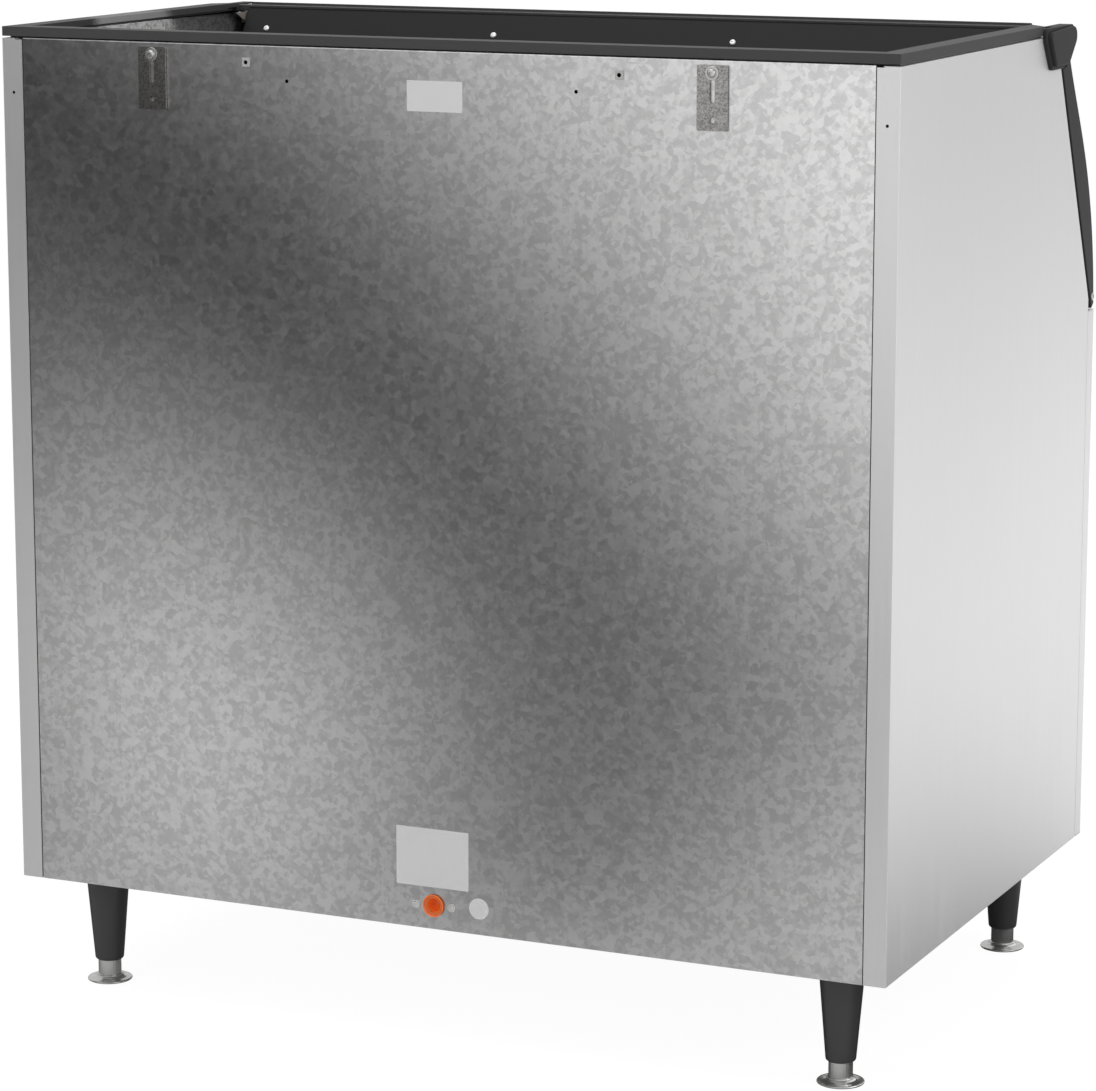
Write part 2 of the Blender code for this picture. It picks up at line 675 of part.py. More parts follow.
def build_bottom_panel():
    """Bottom pan, lying on the side panels' foot folds, with its edges turned up."""
    half = HALF_WIDTH - SHEET - FIT_GAP
    back = SHEET + 2 * FIT_GAP + BACK_PANEL_INSET
    front = PAN_FRONT_DEPTH
    corners = [(-half, back), (half, back), (half, front), (-half, front)]
    folds = [0, EDGE_FOLD, 0, EDGE_FOLD]
    height = SHEET + FIT_GAP
    pan = folded_sheet("bottom_panel", corners, folds, plan_place, height, 1, "galvanised")
    mesh = bmesh.new()
    for x, depth in leg_places():
        centre = (x, y_at(depth), z_at(height - CUT_OVERRUN))
        profile = cylinder_profile(STUD_RADIUS + FIT_GAP, 0, 3 * CUT_OVERRUN)
        add_turned(mesh, profile, centre, (0, 0, 1), 16)
    cut(pan, new_object("stud_holes", mesh, "zinc"))


def back_panel_half_width():
    return HALF_WIDTH - REAR_FLANGE - BACK_PANEL_EDGE_GAP


def build_back_panel():
    """Galvanised back between the side panels' flanges, its top edge bent over forwards."""
    mesh = bmesh.new()
    half = back_panel_half_width()
    section = [(BACK_PANEL_INSET, 0)]
    bend_height = BACK_PANEL_TOP_HEIGHT - TOP_BEND_RADIUS
    for step in range(4):
        angle = math.radians(30 * step)
        section.append((BACK_PANEL_INSET + TOP_BEND_RADIUS * (1 - math.cos(angle)),
                        bend_height + TOP_BEND_RADIUS * math.sin(angle)))
    section.append((BACK_PANEL_INSET + BACK_PANEL_FOLD, BACK_PANEL_TOP_HEIGHT))
    rows = []
    for depth, height in section:
        rows.append([mesh.verts.new(side_place(depth, height, x)) for x in (half, -half)])
    for low, high in zip(rows, rows[1:]):
        mesh.faces.new((low[0], low[1], high[1], high[0]))
    mesh.normal_update()
    if mesh.faces[:][0].normal.y < 0:
        bmesh.ops.reverse_faces(mesh, faces=mesh.faces[:])
    panel = new_object("back_panel", mesh, "galvanised")
    wall = panel.modifiers.new("sheet", "SOLIDIFY")
    wall.thickness = SHEET
    wall.offset = -1
    wall.use_even_offset = True
    small = [(sign * PANEL_HOLE_HALF_SPACING, PANEL_HOLE_HEIGHT) for sign in SIDES.values()]
    cut_holes(panel, "pilot_holes", small, PILOT_HOLE_RADIUS, -CUT_OVERRUN, CUT_OVERRUN)
    bolts = [(x, BOLT_HEIGHT) for x in bracket_places().values()]
    cut_holes(panel, "bolt_holes", bolts, BOLT_SHANK_RADIUS + FIT_GAP, -CUT_OVERRUN,
              CUT_OVERRUN)
    screws = [(sign * DRAIN_SCREW_OFFSET, DRAIN_HEIGHT) for sign in SIDES.values()]
    cut_holes(panel, "drain_screw_holes", screws, DRAIN_SCREW_SHANK_RADIUS + FIT_GAP,
              -CUT_OVERRUN, CUT_OVERRUN)
    tube_radius = DRAIN_BORE_RADIUS + DRAIN_TUBE_WALL
    cut_holes(panel, "drain_hole", [(0, DRAIN_HEIGHT)], tube_radius + FIT_GAP,
              -CUT_OVERRUN, CUT_OVERRUN, 32)
    mesh = bmesh.new()
    reach = GROMMET_SIZE / 2 - GROMMET_PROUD + FIT_GAP
    for sign in SIDES.values():
        middle = sign * GROMMET_HALF_SPACING
        outline = rectangle(middle - reach, middle + reach,
                            GROMMET_HEIGHT - reach, GROMMET_HEIGHT + reach)
        add_prism(mesh, outline, -CUT_OVERRUN, CUT_OVERRUN, rear_place)
    cut(panel, new_object("grommet_holes", mesh, "zinc"))


# Insulation and liner

def build_insulation():
    """Foam of the five walls, each between the outer skin and the liner."""
    liner_outer = LINER_HALF_WIDTH + LINER_WALL + FIT_GAP
    skin = SHEET + FIT_GAP
    top = BODY_HEIGHT - skin
    behind = -(SHEET + 2 * FIT_GAP + SURROUND_THICKNESS)
    low = FOAM_FLOOR_HEIGHT
    front = SEAM_DEPTH - skin
    over_pan = skin + EDGE_FOLD + FIT_GAP
    side = [(skin, over_pan), (skin, top), (seat_depth(top, behind), top),
            (front, seat_height(front, behind)), (front, over_pan)]
    for name, sign in SIDES.items():
        side_prism(f"{name}_wall_insulation", side, sign * liner_outer,
                   sign * (HALF_WIDTH - skin), "foam")
    back_skin = BACK_PANEL_INSET + skin
    back_inner = LINER_BACK_DEPTH - LINER_WALL - FIT_GAP
    half = LINER_HALF_WIDTH + LINER_WALL
    back = box("back_wall_insulation", (-half, half), (back_skin, back_inner), (low, top),
               "foam")
    bolts = [(x, BOLT_HEIGHT) for x in bracket_places().values()]
    pocket_end = back_skin + BOLT_LENGTH
    cut_holes(back, "bolt_pockets", bolts, BOLT_POCKET_RADIUS, 0, pocket_end, 16)
    tube = DRAIN_BORE_RADIUS + DRAIN_TUBE_WALL + FIT_GAP
    cut_holes(back, "drain_bore", [(0, DRAIN_HEIGHT)], tube, 0, BODY_DEPTH / 2, 32)
    screws = [(sign * DRAIN_SCREW_OFFSET, DRAIN_HEIGHT) for sign in SIDES.values()]
    cut_holes(back, "drain_screw_pockets", screws, DRAIN_SCREW_SHANK_RADIUS + FIT_GAP, 0,
              pocket_end)
    stem = GROMMET_SIZE / 2 - GROMMET_PROUD + FIT_GAP
    mesh = bmesh.new()
    for sign in SIDES.values():
        middle = sign * GROMMET_HALF_SPACING
        outline = rectangle(middle - stem, middle + stem,
                            GROMMET_HEIGHT - stem, GROMMET_HEIGHT + stem)
        add_prism(mesh, outline, 0, pocket_end, rear_place)
    cut(back, new_object("grommet_pockets", mesh, "zinc"))
    box("front_wall_insulation", (-half, half),
        (LINER_FRONT_DEPTH + LINER_WALL + FIT_GAP, BODY_DEPTH - skin),
        (low, FRONT_PANEL_HEIGHT - skin), "foam")
    under_back = floor_height(back_inner) - LINER_WALL - 2 * FIT_GAP
    under_front = floor_height(LINER_FRONT_DEPTH) - LINER_WALL - 2 * FIT_GAP
    inner_front = LINER_FRONT_DEPTH + LINER_WALL
    floor = [(back_inner + FIT_GAP, low), (inner_front, low),
             (inner_front, under_front), (back_inner + FIT_GAP, under_back)]
    side_prism("floor_insulation", floor, -half, half, "foam")


def tub_block(name, outline, half, corner_radius, floor_radius):
    """Solid with the tub's side outline, its upright corners and floor edges rounded."""
    mesh = bmesh.new()
    add_prism(mesh, outline, -half, half, side_place)
    upright = [edge for edge in mesh.edges
               if (edge.verts[0].co - edge.verts[1].co).normalized().z ** 2 > 0.99]
    bmesh.ops.bevel(mesh, geom=upright, offset=corner_radius, offset_type="OFFSET",
                    segments=LINER_CORNER_STEPS, profile=ROUND_PROFILE_SHARE, affect="EDGES")
    mesh.normal_update()
    floor = min(mesh.faces, key=lambda face: face.calc_center_median().z)
    bmesh.ops.bevel(mesh, geom=floor.edges[:], offset=floor_radius, offset_type="OFFSET",
                    segments=2, profile=ROUND_PROFILE_SHARE, affect="EDGES")
    return new_object(name, mesh, "liner_plastic", 35)


def build_liner():
    """Moulded tub: rounded corners, floor sloped to the drain, sloped mouth and flanges."""
    mouth = -(SHEET + 2 * FIT_GAP + SURROUND_THICKNESS)
    top = LINER_TOP_HEIGHT
    outer_back = LINER_BACK_DEPTH - LINER_WALL
    outer_front = LINER_FRONT_DEPTH + LINER_WALL
    outline = [(outer_back, floor_height(outer_back) - LINER_WALL), (outer_back, top),
               (RIM_SHOULDER_DEPTH - RIM_OUTER_LIP - FIT_GAP, top),
               (seat_depth(RAIL_ROOT_FOOT_HEIGHT, mouth), RAIL_ROOT_FOOT_HEIGHT),
               (outer_front, seat_height(outer_front, mouth)),
               (outer_front, floor_height(outer_front) - LINER_WALL)]
    liner = tub_block("liner", outline, LINER_HALF_WIDTH + LINER_WALL,
                      LINER_CORNER_RADIUS + LINER_WALL, LINER_FLOOR_RADIUS + LINER_WALL)
    clear_of_fold = BACK_PANEL_INSET + BACK_PANEL_FOLD + FIT_GAP
    flange = [(x, min(max(depth, clear_of_fold), HEADER_BACK_DEPTH - FIT_GAP))
              for x, depth in rim_outline(RIM_OUTER_LIP + FIT_GAP)]
    join(liner, plan_block("liner_top_flange", flange, top - LINER_WALL, top))
    sill = rectangle(-LINER_HALF_WIDTH, LINER_HALF_WIDTH, LINER_FRONT_DEPTH - CUT_OVERRUN,
                     LINER_FRONT_DEPTH + LINER_SILL_FLANGE)
    join(liner, plan_block("liner_sill_flange", sill, LINER_SILL_HEIGHT - LINER_WALL,
                           LINER_SILL_HEIGHT))
    inside = [(LINER_BACK_DEPTH, LINER_FLOOR_BACK), (LINER_BACK_DEPTH, top + CUT_OVERRUN),
              (LINER_FRONT_DEPTH, top + CUT_OVERRUN), (LINER_FRONT_DEPTH, LINER_FLOOR_FRONT)]
    cut(liner, tub_block("liner_inside", inside, LINER_HALF_WIDTH, LINER_CORNER_RADIUS,
                         LINER_FLOOR_RADIUS))
    over_sill = box("over_sill", (-LINER_HALF_WIDTH, LINER_HALF_WIDTH),
                    (LINER_FRONT_DEPTH - FIT_GAP, BODY_DEPTH),
                    (LINER_SILL_HEIGHT, BODY_HEIGHT), "zinc")
    cut(liner, over_sill)
    cut_holes(liner, "drain_outlet", [(0, DRAIN_HEIGHT)],
              DRAIN_BORE_RADIUS + DRAIN_TUBE_WALL + FIT_GAP, 0,
              LINER_BACK_DEPTH + CUT_OVERRUN, 32)


# Deck rim and door surround

def rim_outline(inset):
    """Plan of the rim, its front corners cut back for the door hinges."""
    right = [(HALF_WIDTH - inset, inset), (HALF_WIDTH - inset, RIM_CORNER_DEPTH - inset),
             (RIM_SHOULDER_HALF_WIDTH - inset, RIM_SHOULDER_DEPTH - inset),
             (RIM_CORNER_HALF_WIDTH - inset, RIM_FRONT_DEPTH - inset)]
    return right + [(-x, depth) for x, depth in reversed(right)]


def plan_block(name, outline, low, high):
    mesh = bmesh.new()
    add_prism(mesh, outline, low, high, plan_place)
    return new_object(name, mesh, "zinc")


def build_rim():
    """Deck rim: a frame hollowed underneath, its front bar lower and ended by a drip lip."""
    mesh = bmesh.new()
    inner = HALF_WIDTH - RIM_WIDTH
    add_prism(mesh, rim_outline(0), RIM_BOTTOM_HEIGHT, RIM_TOP_HEIGHT, plan_place)
    rim = new_object("top_rim", mesh, "charcoal_plastic")
    opening = rectangle(-inner, inner, RIM_WIDTH, RIM_FRONT_OPENING_DEPTH)
    cut(rim, plan_block("deck_opening", opening, BODY_HEIGHT, RIM_TOP_HEIGHT + CUT_OVERRUN))
    lip_back = RIM_FRONT_DEPTH - RIM_DRIP_LIP
    step = [(HALF_WIDTH, RIM_CORNER_DEPTH), (HALF_WIDTH, lip_back), (-HALF_WIDTH, lip_back),
            (-HALF_WIDTH, RIM_CORNER_DEPTH), (-inner, RIM_FRONT_OPENING_DEPTH),
            (inner, RIM_FRONT_OPENING_DEPTH)]
    cut(rim, plan_block("front_bar_step", step, RIM_TOP_HEIGHT - RIM_STEP_DROP,
                        RIM_TOP_HEIGHT + CUT_OVERRUN))
    reach = RIM_REBATE
    rebate = rectangle(-inner - reach, inner + reach, RIM_WIDTH - reach,
                       RIM_FRONT_OPENING_DEPTH - CUT_OVERRUN)
    cut(rim, plan_block("inner_rebate", rebate, BODY_HEIGHT, RIM_INNER_BOTTOM_HEIGHT))
    cut(rim, plan_block("underside_recess", rim_outline(RIM_OUTER_LIP), BODY_HEIGHT,
                        LINER_TOP_HEIGHT + FIT_GAP))
    notches = bmesh.new()
    for sign in SIDES.values():
        ends = sorted((sign * (inner - CUT_OVERRUN), sign * (inner + RIM_NOTCH_REACH)))
        outline = rectangle(ends[0], ends[1], RIM_CORNER_DEPTH,
                            RIM_FRONT_OPENING_DEPTH - CUT_OVERRUN)
        add_prism(notches, outline, BODY_HEIGHT, RIM_NOTCH_TOP_HEIGHT, plan_place)
    cut(rim, new_object("bracket_notches", notches, "zinc"))


def build_surround():
    """Flat frame round the door opening, under the side panels' door edges."""
    face = -(SHEET + FIT_GAP)
    back = face - SURROUND_THICKNESS
    half = HALF_WIDTH - SHEET - FIT_GAP
    top = (BODY_HEIGHT - SEAT_FOOT_HEIGHT - face * math.sin(SLOPE)) / math.cos(SLOPE)
    top -= SURROUND_THICKNESS * math.tan(SLOPE)
    steps = 4
    outer = rectangle(-half, half, SURROUND_FOOT_UP, top, LINER_WALL, steps)
    inner = rectangle(-OPENING_HALF_WIDTH, OPENING_HALF_WIDTH, OPENING_FOOT_UP,
                      OPENING_TOP_UP, OPENING_CORNER_RADIUS, steps)
    mesh = bmesh.new()
    add_ring(mesh, outer, inner, face, back, slope_place)
    new_object("door_surround", mesh, "black_plastic", 40)


def build_header_and_sill():
    """Insulated cross pieces over and under the door opening, behind its surround."""
    behind = -(SHEET + 2 * FIT_GAP + SURROUND_THICKNESS)
    foot_depth, foot_height = on_slope(OPENING_TOP_UP, behind)
    top = RIM_BOTTOM_HEIGHT - FIT_GAP
    half = LINER_HALF_WIDTH - FIT_GAP
    header = [(HEADER_BACK_DEPTH, top), (seat_depth(top, behind), top),
              (foot_depth, foot_height), (HEADER_FOOT_BACK_DEPTH, foot_height)]
    side_prism("door_header", header, -half, half, "black_plastic")
    base = LINER_SILL_HEIGHT + FIT_GAP
    front = SEAM_DEPTH - FIT_GAP * 3 - EDGE_FOLD / 8
    step_height = base + SILL_STEP_HEIGHT
    sill = [(LINER_FRONT_DEPTH + FIT_GAP, base), (front, base), (front, step_height),
            (front - SILL_STEP_WIDTH, step_height),
            (seat_depth(step_height + SILL_STEP_HEIGHT / 2, behind) - FIT_GAP,
             step_height + SILL_STEP_HEIGHT / 2),
            (LINER_FRONT_DEPTH + FIT_GAP,
             seat_height(LINER_FRONT_DEPTH + FIT_GAP, behind) - FIT_GAP)]
    side_prism("door_sill", sill, -half, half, "black_plastic")


# Door

def leaf_front(up):
    """How far the leaf's front stands out, a soft swell over the crest and a bow below it."""
    if up >= LEAF_CREST_UP:
        share = (PIVOT_UP - up) / (PIVOT_UP - LEAF_CREST_UP)
        swell = 3 * share ** 2 - 2 * share ** 3
        neck = PIVOT_OUT + BARREL_RADIUS
        return neck + (LEAF_CREST_OUT - neck) * swell
    share = (LEAF_CREST_UP - up) / (LEAF_CREST_UP - LEAF_LIP_UP)
    return LEAF_CREST_OUT - (LEAF_CREST_OUT - LEAF_LIP_OUT) * share ** 2


def leaf_outline():
    """Side outline of the leaf: pull lip, bowed front, hinge barrel and straight back."""
    points = [(LEAF_TIP_UP, LEAF_TIP_OUT)]
    spans = [(LEAF_LIP_UP, LEAF_CREST_UP), (LEAF_CREST_UP, PIVOT_UP)]
    for low, high in spans:
        for step in range(LEAF_STEPS):
            up = low + (high - low) * step / LEAF_STEPS
            points.append((up, leaf_front(up)))
    for step in range(BARREL_STEPS + 1):
        angle = math.pi * step / BARREL_STEPS
        points.append((PIVOT_UP + BARREL_RADIUS * math.sin(angle),
                       PIVOT_OUT + BARREL_RADIUS * math.cos(angle)))
    return points


def slope_side_place(up, out, x):
    return slope_place(x, up, out)


def build_leaf(hinge):
    """Moulded outer leaf, hollow behind, with a hinge barrel and a finger pull."""
    mesh = bmesh.new()
    half = HALF_WIDTH - FIT_GAP
    add_prism(mesh, leaf_outline(), -half, half, slope_side_place)
    leaf = new_object("door_leaf", mesh, "charcoal_plastic", 30)
    cavity = [(CAVITY_FOOT_UP, DOOR_STANDOFF - CUT_OVERRUN)]
    for step in range(LEAF_STEPS + 1):
        up = CAVITY_FOOT_UP + (CAVITY_TOP_UP - CAVITY_FOOT_UP) * step / LEAF_STEPS
        cavity.append((up, leaf_front(up) - LEAF_WALL))
    cavity.append((CAVITY_TOP_UP, DOOR_STANDOFF - CUT_OVERRUN))
    inside = bmesh.new()
    reach = LEAF_NECK_HALF_WIDTH - LEAF_WALL
    add_prism(inside, cavity, -reach, reach, slope_side_place)
    cut(leaf, new_object("leaf_cavity", inside, "zinc"))
    shoulders = bmesh.new()
    bores = bmesh.new()
    for sign in SIDES.values():
        centre = slope_place(sign * LEAF_NECK_HALF_WIDTH, PIVOT_UP, PIVOT_OUT)
        run = HALF_WIDTH - LEAF_NECK_HALF_WIDTH + CUT_OVERRUN
        add_turned(shoulders, cylinder_profile(LEAF_SHOULDER_RADIUS, 0, run), centre,
                   (sign, 0, 0), 48)
        bore = slope_place(sign * (LEAF_NECK_HALF_WIDTH - BUSH_LENGTH - FIT_GAP), PIVOT_UP,
                           PIVOT_OUT)
        add_turned(bores, cylinder_profile(BUSH_RADIUS + FIT_GAP, 0,
                                           BUSH_LENGTH + CUT_OVERRUN), bore, (sign, 0, 0), 20)
    cut(leaf, new_object("leaf_shoulders", shoulders, "zinc"))
    cut(leaf, new_object("bush_bores", bores, "zinc"))
    pull = bmesh.new()
    groove = rounded([(PULL_FOOT_UP, DOOR_STANDOFF - CUT_OVERRUN, 0),
                      (PULL_FOOT_UP, DOOR_STANDOFF + PULL_DEPTH, PULL_DEPTH / 2),
                      (PULL_TOP_UP, DOOR_STANDOFF + PULL_DEPTH, PULL_DEPTH / 2),
                      (PULL_TOP_UP, DOOR_STANDOFF - CUT_OVERRUN, 0)], 3)
    add_prism(pull, groove, -PULL_HALF_LENGTH, PULL_HALF_LENGTH, slope_side_place)
    cut(leaf, new_object("finger_pull", pull, "zinc"))
    screw_holes = bmesh.new()
    for sign in SIDES.values():
        start = side_place(DOOR_SCREW_DEPTH, DOOR_SCREW_HEIGHT,
                           sign * (HALF_WIDTH - LEAF_WALL - 2 * FIT_GAP))
        add_turned(screw_holes, cylinder_profile(DOOR_SCREW_RADIUS / 2 + FIT_GAP, 0,
                                                 LEAF_WALL + CUT_OVERRUN), start,
                   (sign, 0, 0), 12)
    cut(leaf, new_object("door_screw_holes", screw_holes, "zinc"))
    set_origin(leaf, hinge.location, hinge)


def build_door_inside(hinge):
    """Door foam, plugged inner panel, gasket, bushes and the lower side screws."""
    back = DOOR_STANDOFF
    panel_front = back - FIT_GAP
    panel_back = panel_front - PANEL_THICKNESS
    reach = LEAF_NECK_HALF_WIDTH - LEAF_WALL - FIT_GAP
    mesh = bmesh.new()
    foam = [(CAVITY_FOOT_UP + FIT_GAP, back)]
    for step in range(LEAF_STEPS + 1):
        low = CAVITY_FOOT_UP + FIT_GAP
        high = CAVITY_TOP_UP - FIT_GAP
        up = low + (high - low) * step / LEAF_STEPS
        foam.append((up, leaf_front(up) - LEAF_WALL - 3 * FIT_GAP))
    foam.append((CAVITY_TOP_UP - FIT_GAP, back))
    add_prism(mesh, foam, -reach, reach, slope_side_place)
    set_origin(new_object("door_insulation", mesh, "foam"), hinge.location, hinge)

    mesh = bmesh.new()
    edge = LEAF_NECK_HALF_WIDTH - PANEL_EDGE_INSET
    low = CAVITY_FOOT_UP - PANEL_EDGE_INSET
    high = CAVITY_TOP_UP + PANEL_EDGE_INSET
    levels = [(edge, low, high, panel_front), (edge, low, high, panel_back),
              (PLUG_HALF_WIDTH, PLUG_FOOT_UP, PLUG_TOP_UP, panel_back),
              (PLUG_HALF_WIDTH - PLUG_TAPER, PLUG_FOOT_UP + PLUG_TAPER,
               PLUG_TOP_UP - PLUG_TAPER, -PLUG_REACH)]
    loops = []
    for half, foot, top, out in levels:
        corners = rectangle(-half, half, foot, top, OPENING_CORNER_RADIUS / 2, 3)
        loops.append([mesh.verts.new(slope_place(a, b, out)) for a, b in corners])
    mesh.faces.new(loops[0])
    mesh.faces.new(list(reversed(loops[-1])))
    for one, two in zip(loops, loops[1:]):
        for index in range(len(one)):
            after = (index + 1) % len(one)
            mesh.faces.new((one[index], one[after], two[after], two[index]))
    bmesh.ops.recalc_face_normals(mesh, faces=mesh.faces[:])
    panel = new_object("door_inner_panel", mesh, "liner_plastic", 40)
    set_origin(panel, hinge.location, hinge)

    mesh = bmesh.new()
    outer_half = edge - GASKET_INSET
    outer_low = low + GASKET_INSET
    outer_high = high - GASKET_INSET
    outer = rectangle(-outer_half, outer_half, outer_low, outer_high, GASKET_INSET, 4)
    inner = rectangle(-outer_half + GASKET_WIDTH, outer_half - GASKET_WIDTH,
                      outer_low + GASKET_WIDTH, outer_high - GASKET_WIDTH,
                      GASKET_INSET / 2, 4)
    add_ring(mesh, outer, inner, -(SHEET + FIT_GAP) + FIT_GAP, panel_back - FIT_GAP,
             slope_place)
    set_origin(new_object("door_gasket", mesh, "rubber"), hinge.location, hinge)

    for side, sign in SIDES.items():
        start = slope_place(sign * (LEAF_NECK_HALF_WIDTH - BUSH_LENGTH), PIVOT_UP, PIVOT_OUT)
        bush = turned(f"{side}_hinge_bush",
                      tube_profile(PIN_RADIUS + FIT_GAP, BUSH_RADIUS, 0, BUSH_LENGTH),
                      start, (sign, 0, 0), 20, "white_nylon")
        set_origin(bush, hinge.location, hinge)

    for side, sign in SIDES.items():
        face = side_place(DOOR_SCREW_DEPTH, DOOR_SCREW_HEIGHT, sign * HALF_WIDTH)
        radius = DOOR_SCREW_RADIUS
        profile = [(0, -LEAF_WALL), (radius / 2, -LEAF_WALL), (radius / 2, 0), (radius, 0),
                   (radius * 0.82, DOOR_SCREW_PROUD), (0, DOOR_SCREW_PROUD)]
        screw = turned(f"{side}_door_screw", profile, face, (sign, 0, 0), 16, "zinc")
        set_origin(screw, hinge.location, hinge)


# Hinges

def cap_outline():
    """Cap's raised face: sloped rear, short foot, long front slope and a big front round."""
    return [(CAP_REAR_DEPTH, CAP_TOP_HEIGHT, CAP_CORNER_RADIUS),
            (CAP_REAR_FOOT_DEPTH, CAP_FOOT_HEIGHT, CAP_CORNER_RADIUS),
            (CAP_FRONT_FOOT_DEPTH, CAP_FOOT_HEIGHT, CAP_CORNER_RADIUS / 2),
            (CAP_FRONT_DEPTH, CAP_TOP_HEIGHT, CAP_FRONT_RADIUS)]


def cap_base_outline():
    """Base step, which shows behind and below the raised face."""
    top = CAP_TOP_HEIGHT - FIT_GAP
    foot = CAP_FOOT_HEIGHT - CAP_BASE_FOOT_GROWTH
    return [(CAP_REAR_DEPTH - CAP_BASE_REAR_GROWTH, top, CAP_CORNER_RADIUS),
            (CAP_REAR_FOOT_DEPTH, foot, CAP_CORNER_RADIUS),
            (CAP_FRONT_FOOT_DEPTH - CAP_BASE_FOOT_GROWTH, foot, CAP_CORNER_RADIUS / 2),
            (CAP_FRONT_DEPTH - CAP_FRONT_RADIUS, top, CAP_CORNER_RADIUS)]


def build_hinges():
    """Hinge plates and pins on the side panels, under two-step plastic caps."""
    pivot_depth, pivot_height = on_slope(PIVOT_UP, PIVOT_OUT)
    for side, sign in SIDES.items():
        plate_in = sign * (HALF_WIDTH + FIT_GAP)
        plate_out = plate_in + sign * BRACKET_PLATE
        outline = rounded(inset(cap_outline(), CAP_WALL + FIT_GAP))
        plate = side_prism(f"{side}_hinge_plate", outline, plate_in, plate_out, "zinc")
        hole = bmesh.new()
        centre = side_place(pivot_depth, pivot_height, plate_in - sign * CUT_OVERRUN)
        add_turned(hole, cylinder_profile(PIN_RADIUS + FIT_GAP, 0,
                                          BRACKET_PLATE + 2 * CUT_OVERRUN), centre,
                   (sign, 0, 0), 20)
        cut(plate, new_object(f"{side}_pin_hole", hole, "zinc"))
        start = side_place(pivot_depth, pivot_height,
                           sign * (LEAF_NECK_HALF_WIDTH - PIN_REACH))
        run = abs(plate_out) - LEAF_NECK_HALF_WIDTH + PIN_REACH + FIT_GAP
        turned(f"{side}_hinge_pin",
               [(0, 0), (PIN_RADIUS, 0), (PIN_RADIUS, run), (PIN_HEAD_RADIUS, run),
                (PIN_HEAD_RADIUS, run + PIN_HEAD_LENGTH), (0, run + PIN_HEAD_LENGTH)],
               start, (sign, 0, 0), 20, "zinc")
        build_cap(side, sign)


def build_cap(side, sign):
    """One hinge cap: thin base step, raised face, hood over the hinge, hollow inside."""
    outer = sign * (HALF_WIDTH + CAP_PROUD)
    base_in = sign * (HALF_WIDTH + FIT_GAP)
    mesh = bmesh.new()
    add_prism(mesh, rounded(cap_outline(), 5), base_in, outer, side_place)
    rim_edges = [e for e in mesh.edges
                 if all(abs(v.co.x - outer) < FIT_GAP for v in e.verts)]
    bmesh.ops.bevel(mesh, geom=rim_edges, offset=CAP_EDGE_RADIUS, offset_type="OFFSET",
                    segments=3, profile=ROUND_PROFILE_SHARE, affect="EDGES")
    cap = new_object(f"{side}_hinge_cap", mesh, "charcoal_plastic", 30)
    base = side_prism(f"{side}_cap_base", rounded(cap_base_outline()), base_in,
                      base_in + sign * CAP_BASE_THICKNESS, "zinc")
    join(cap, base)
    hollow = side_prism(f"{side}_cap_hollow", rounded(inset(cap_outline(), CAP_WALL)),
                        base_in - sign * CUT_OVERRUN, outer - sign * CAP_WALL, "zinc")
    cut(cap, hollow)
    hood = box(f"{side}_cap_hood", (sign * CAP_INNER_HALF_WIDTH, outer - sign * CAP_WALL),
               (CAP_HOOD_BACK_DEPTH, CAP_HOOD_FRONT_DEPTH),
               (CAP_TOP_HEIGHT - CAP_WALL, CAP_TOP_HEIGHT - FIT_GAP), "zinc")
    join(cap, hood)


# Ice baffle

def header_back_depth(height):
    """Depth of the header's rear face, which leans forward towards its foot."""
    foot_height = on_slope(OPENING_TOP_UP, -SURROUND_THICKNESS)[1]
    top_height = RIM_BOTTOM_HEIGHT - FIT_GAP
    share = (top_height - height) / (top_height - foot_height)
    return HEADER_BACK_DEPTH + share * (HEADER_FOOT_BACK_DEPTH - HEADER_BACK_DEPTH)


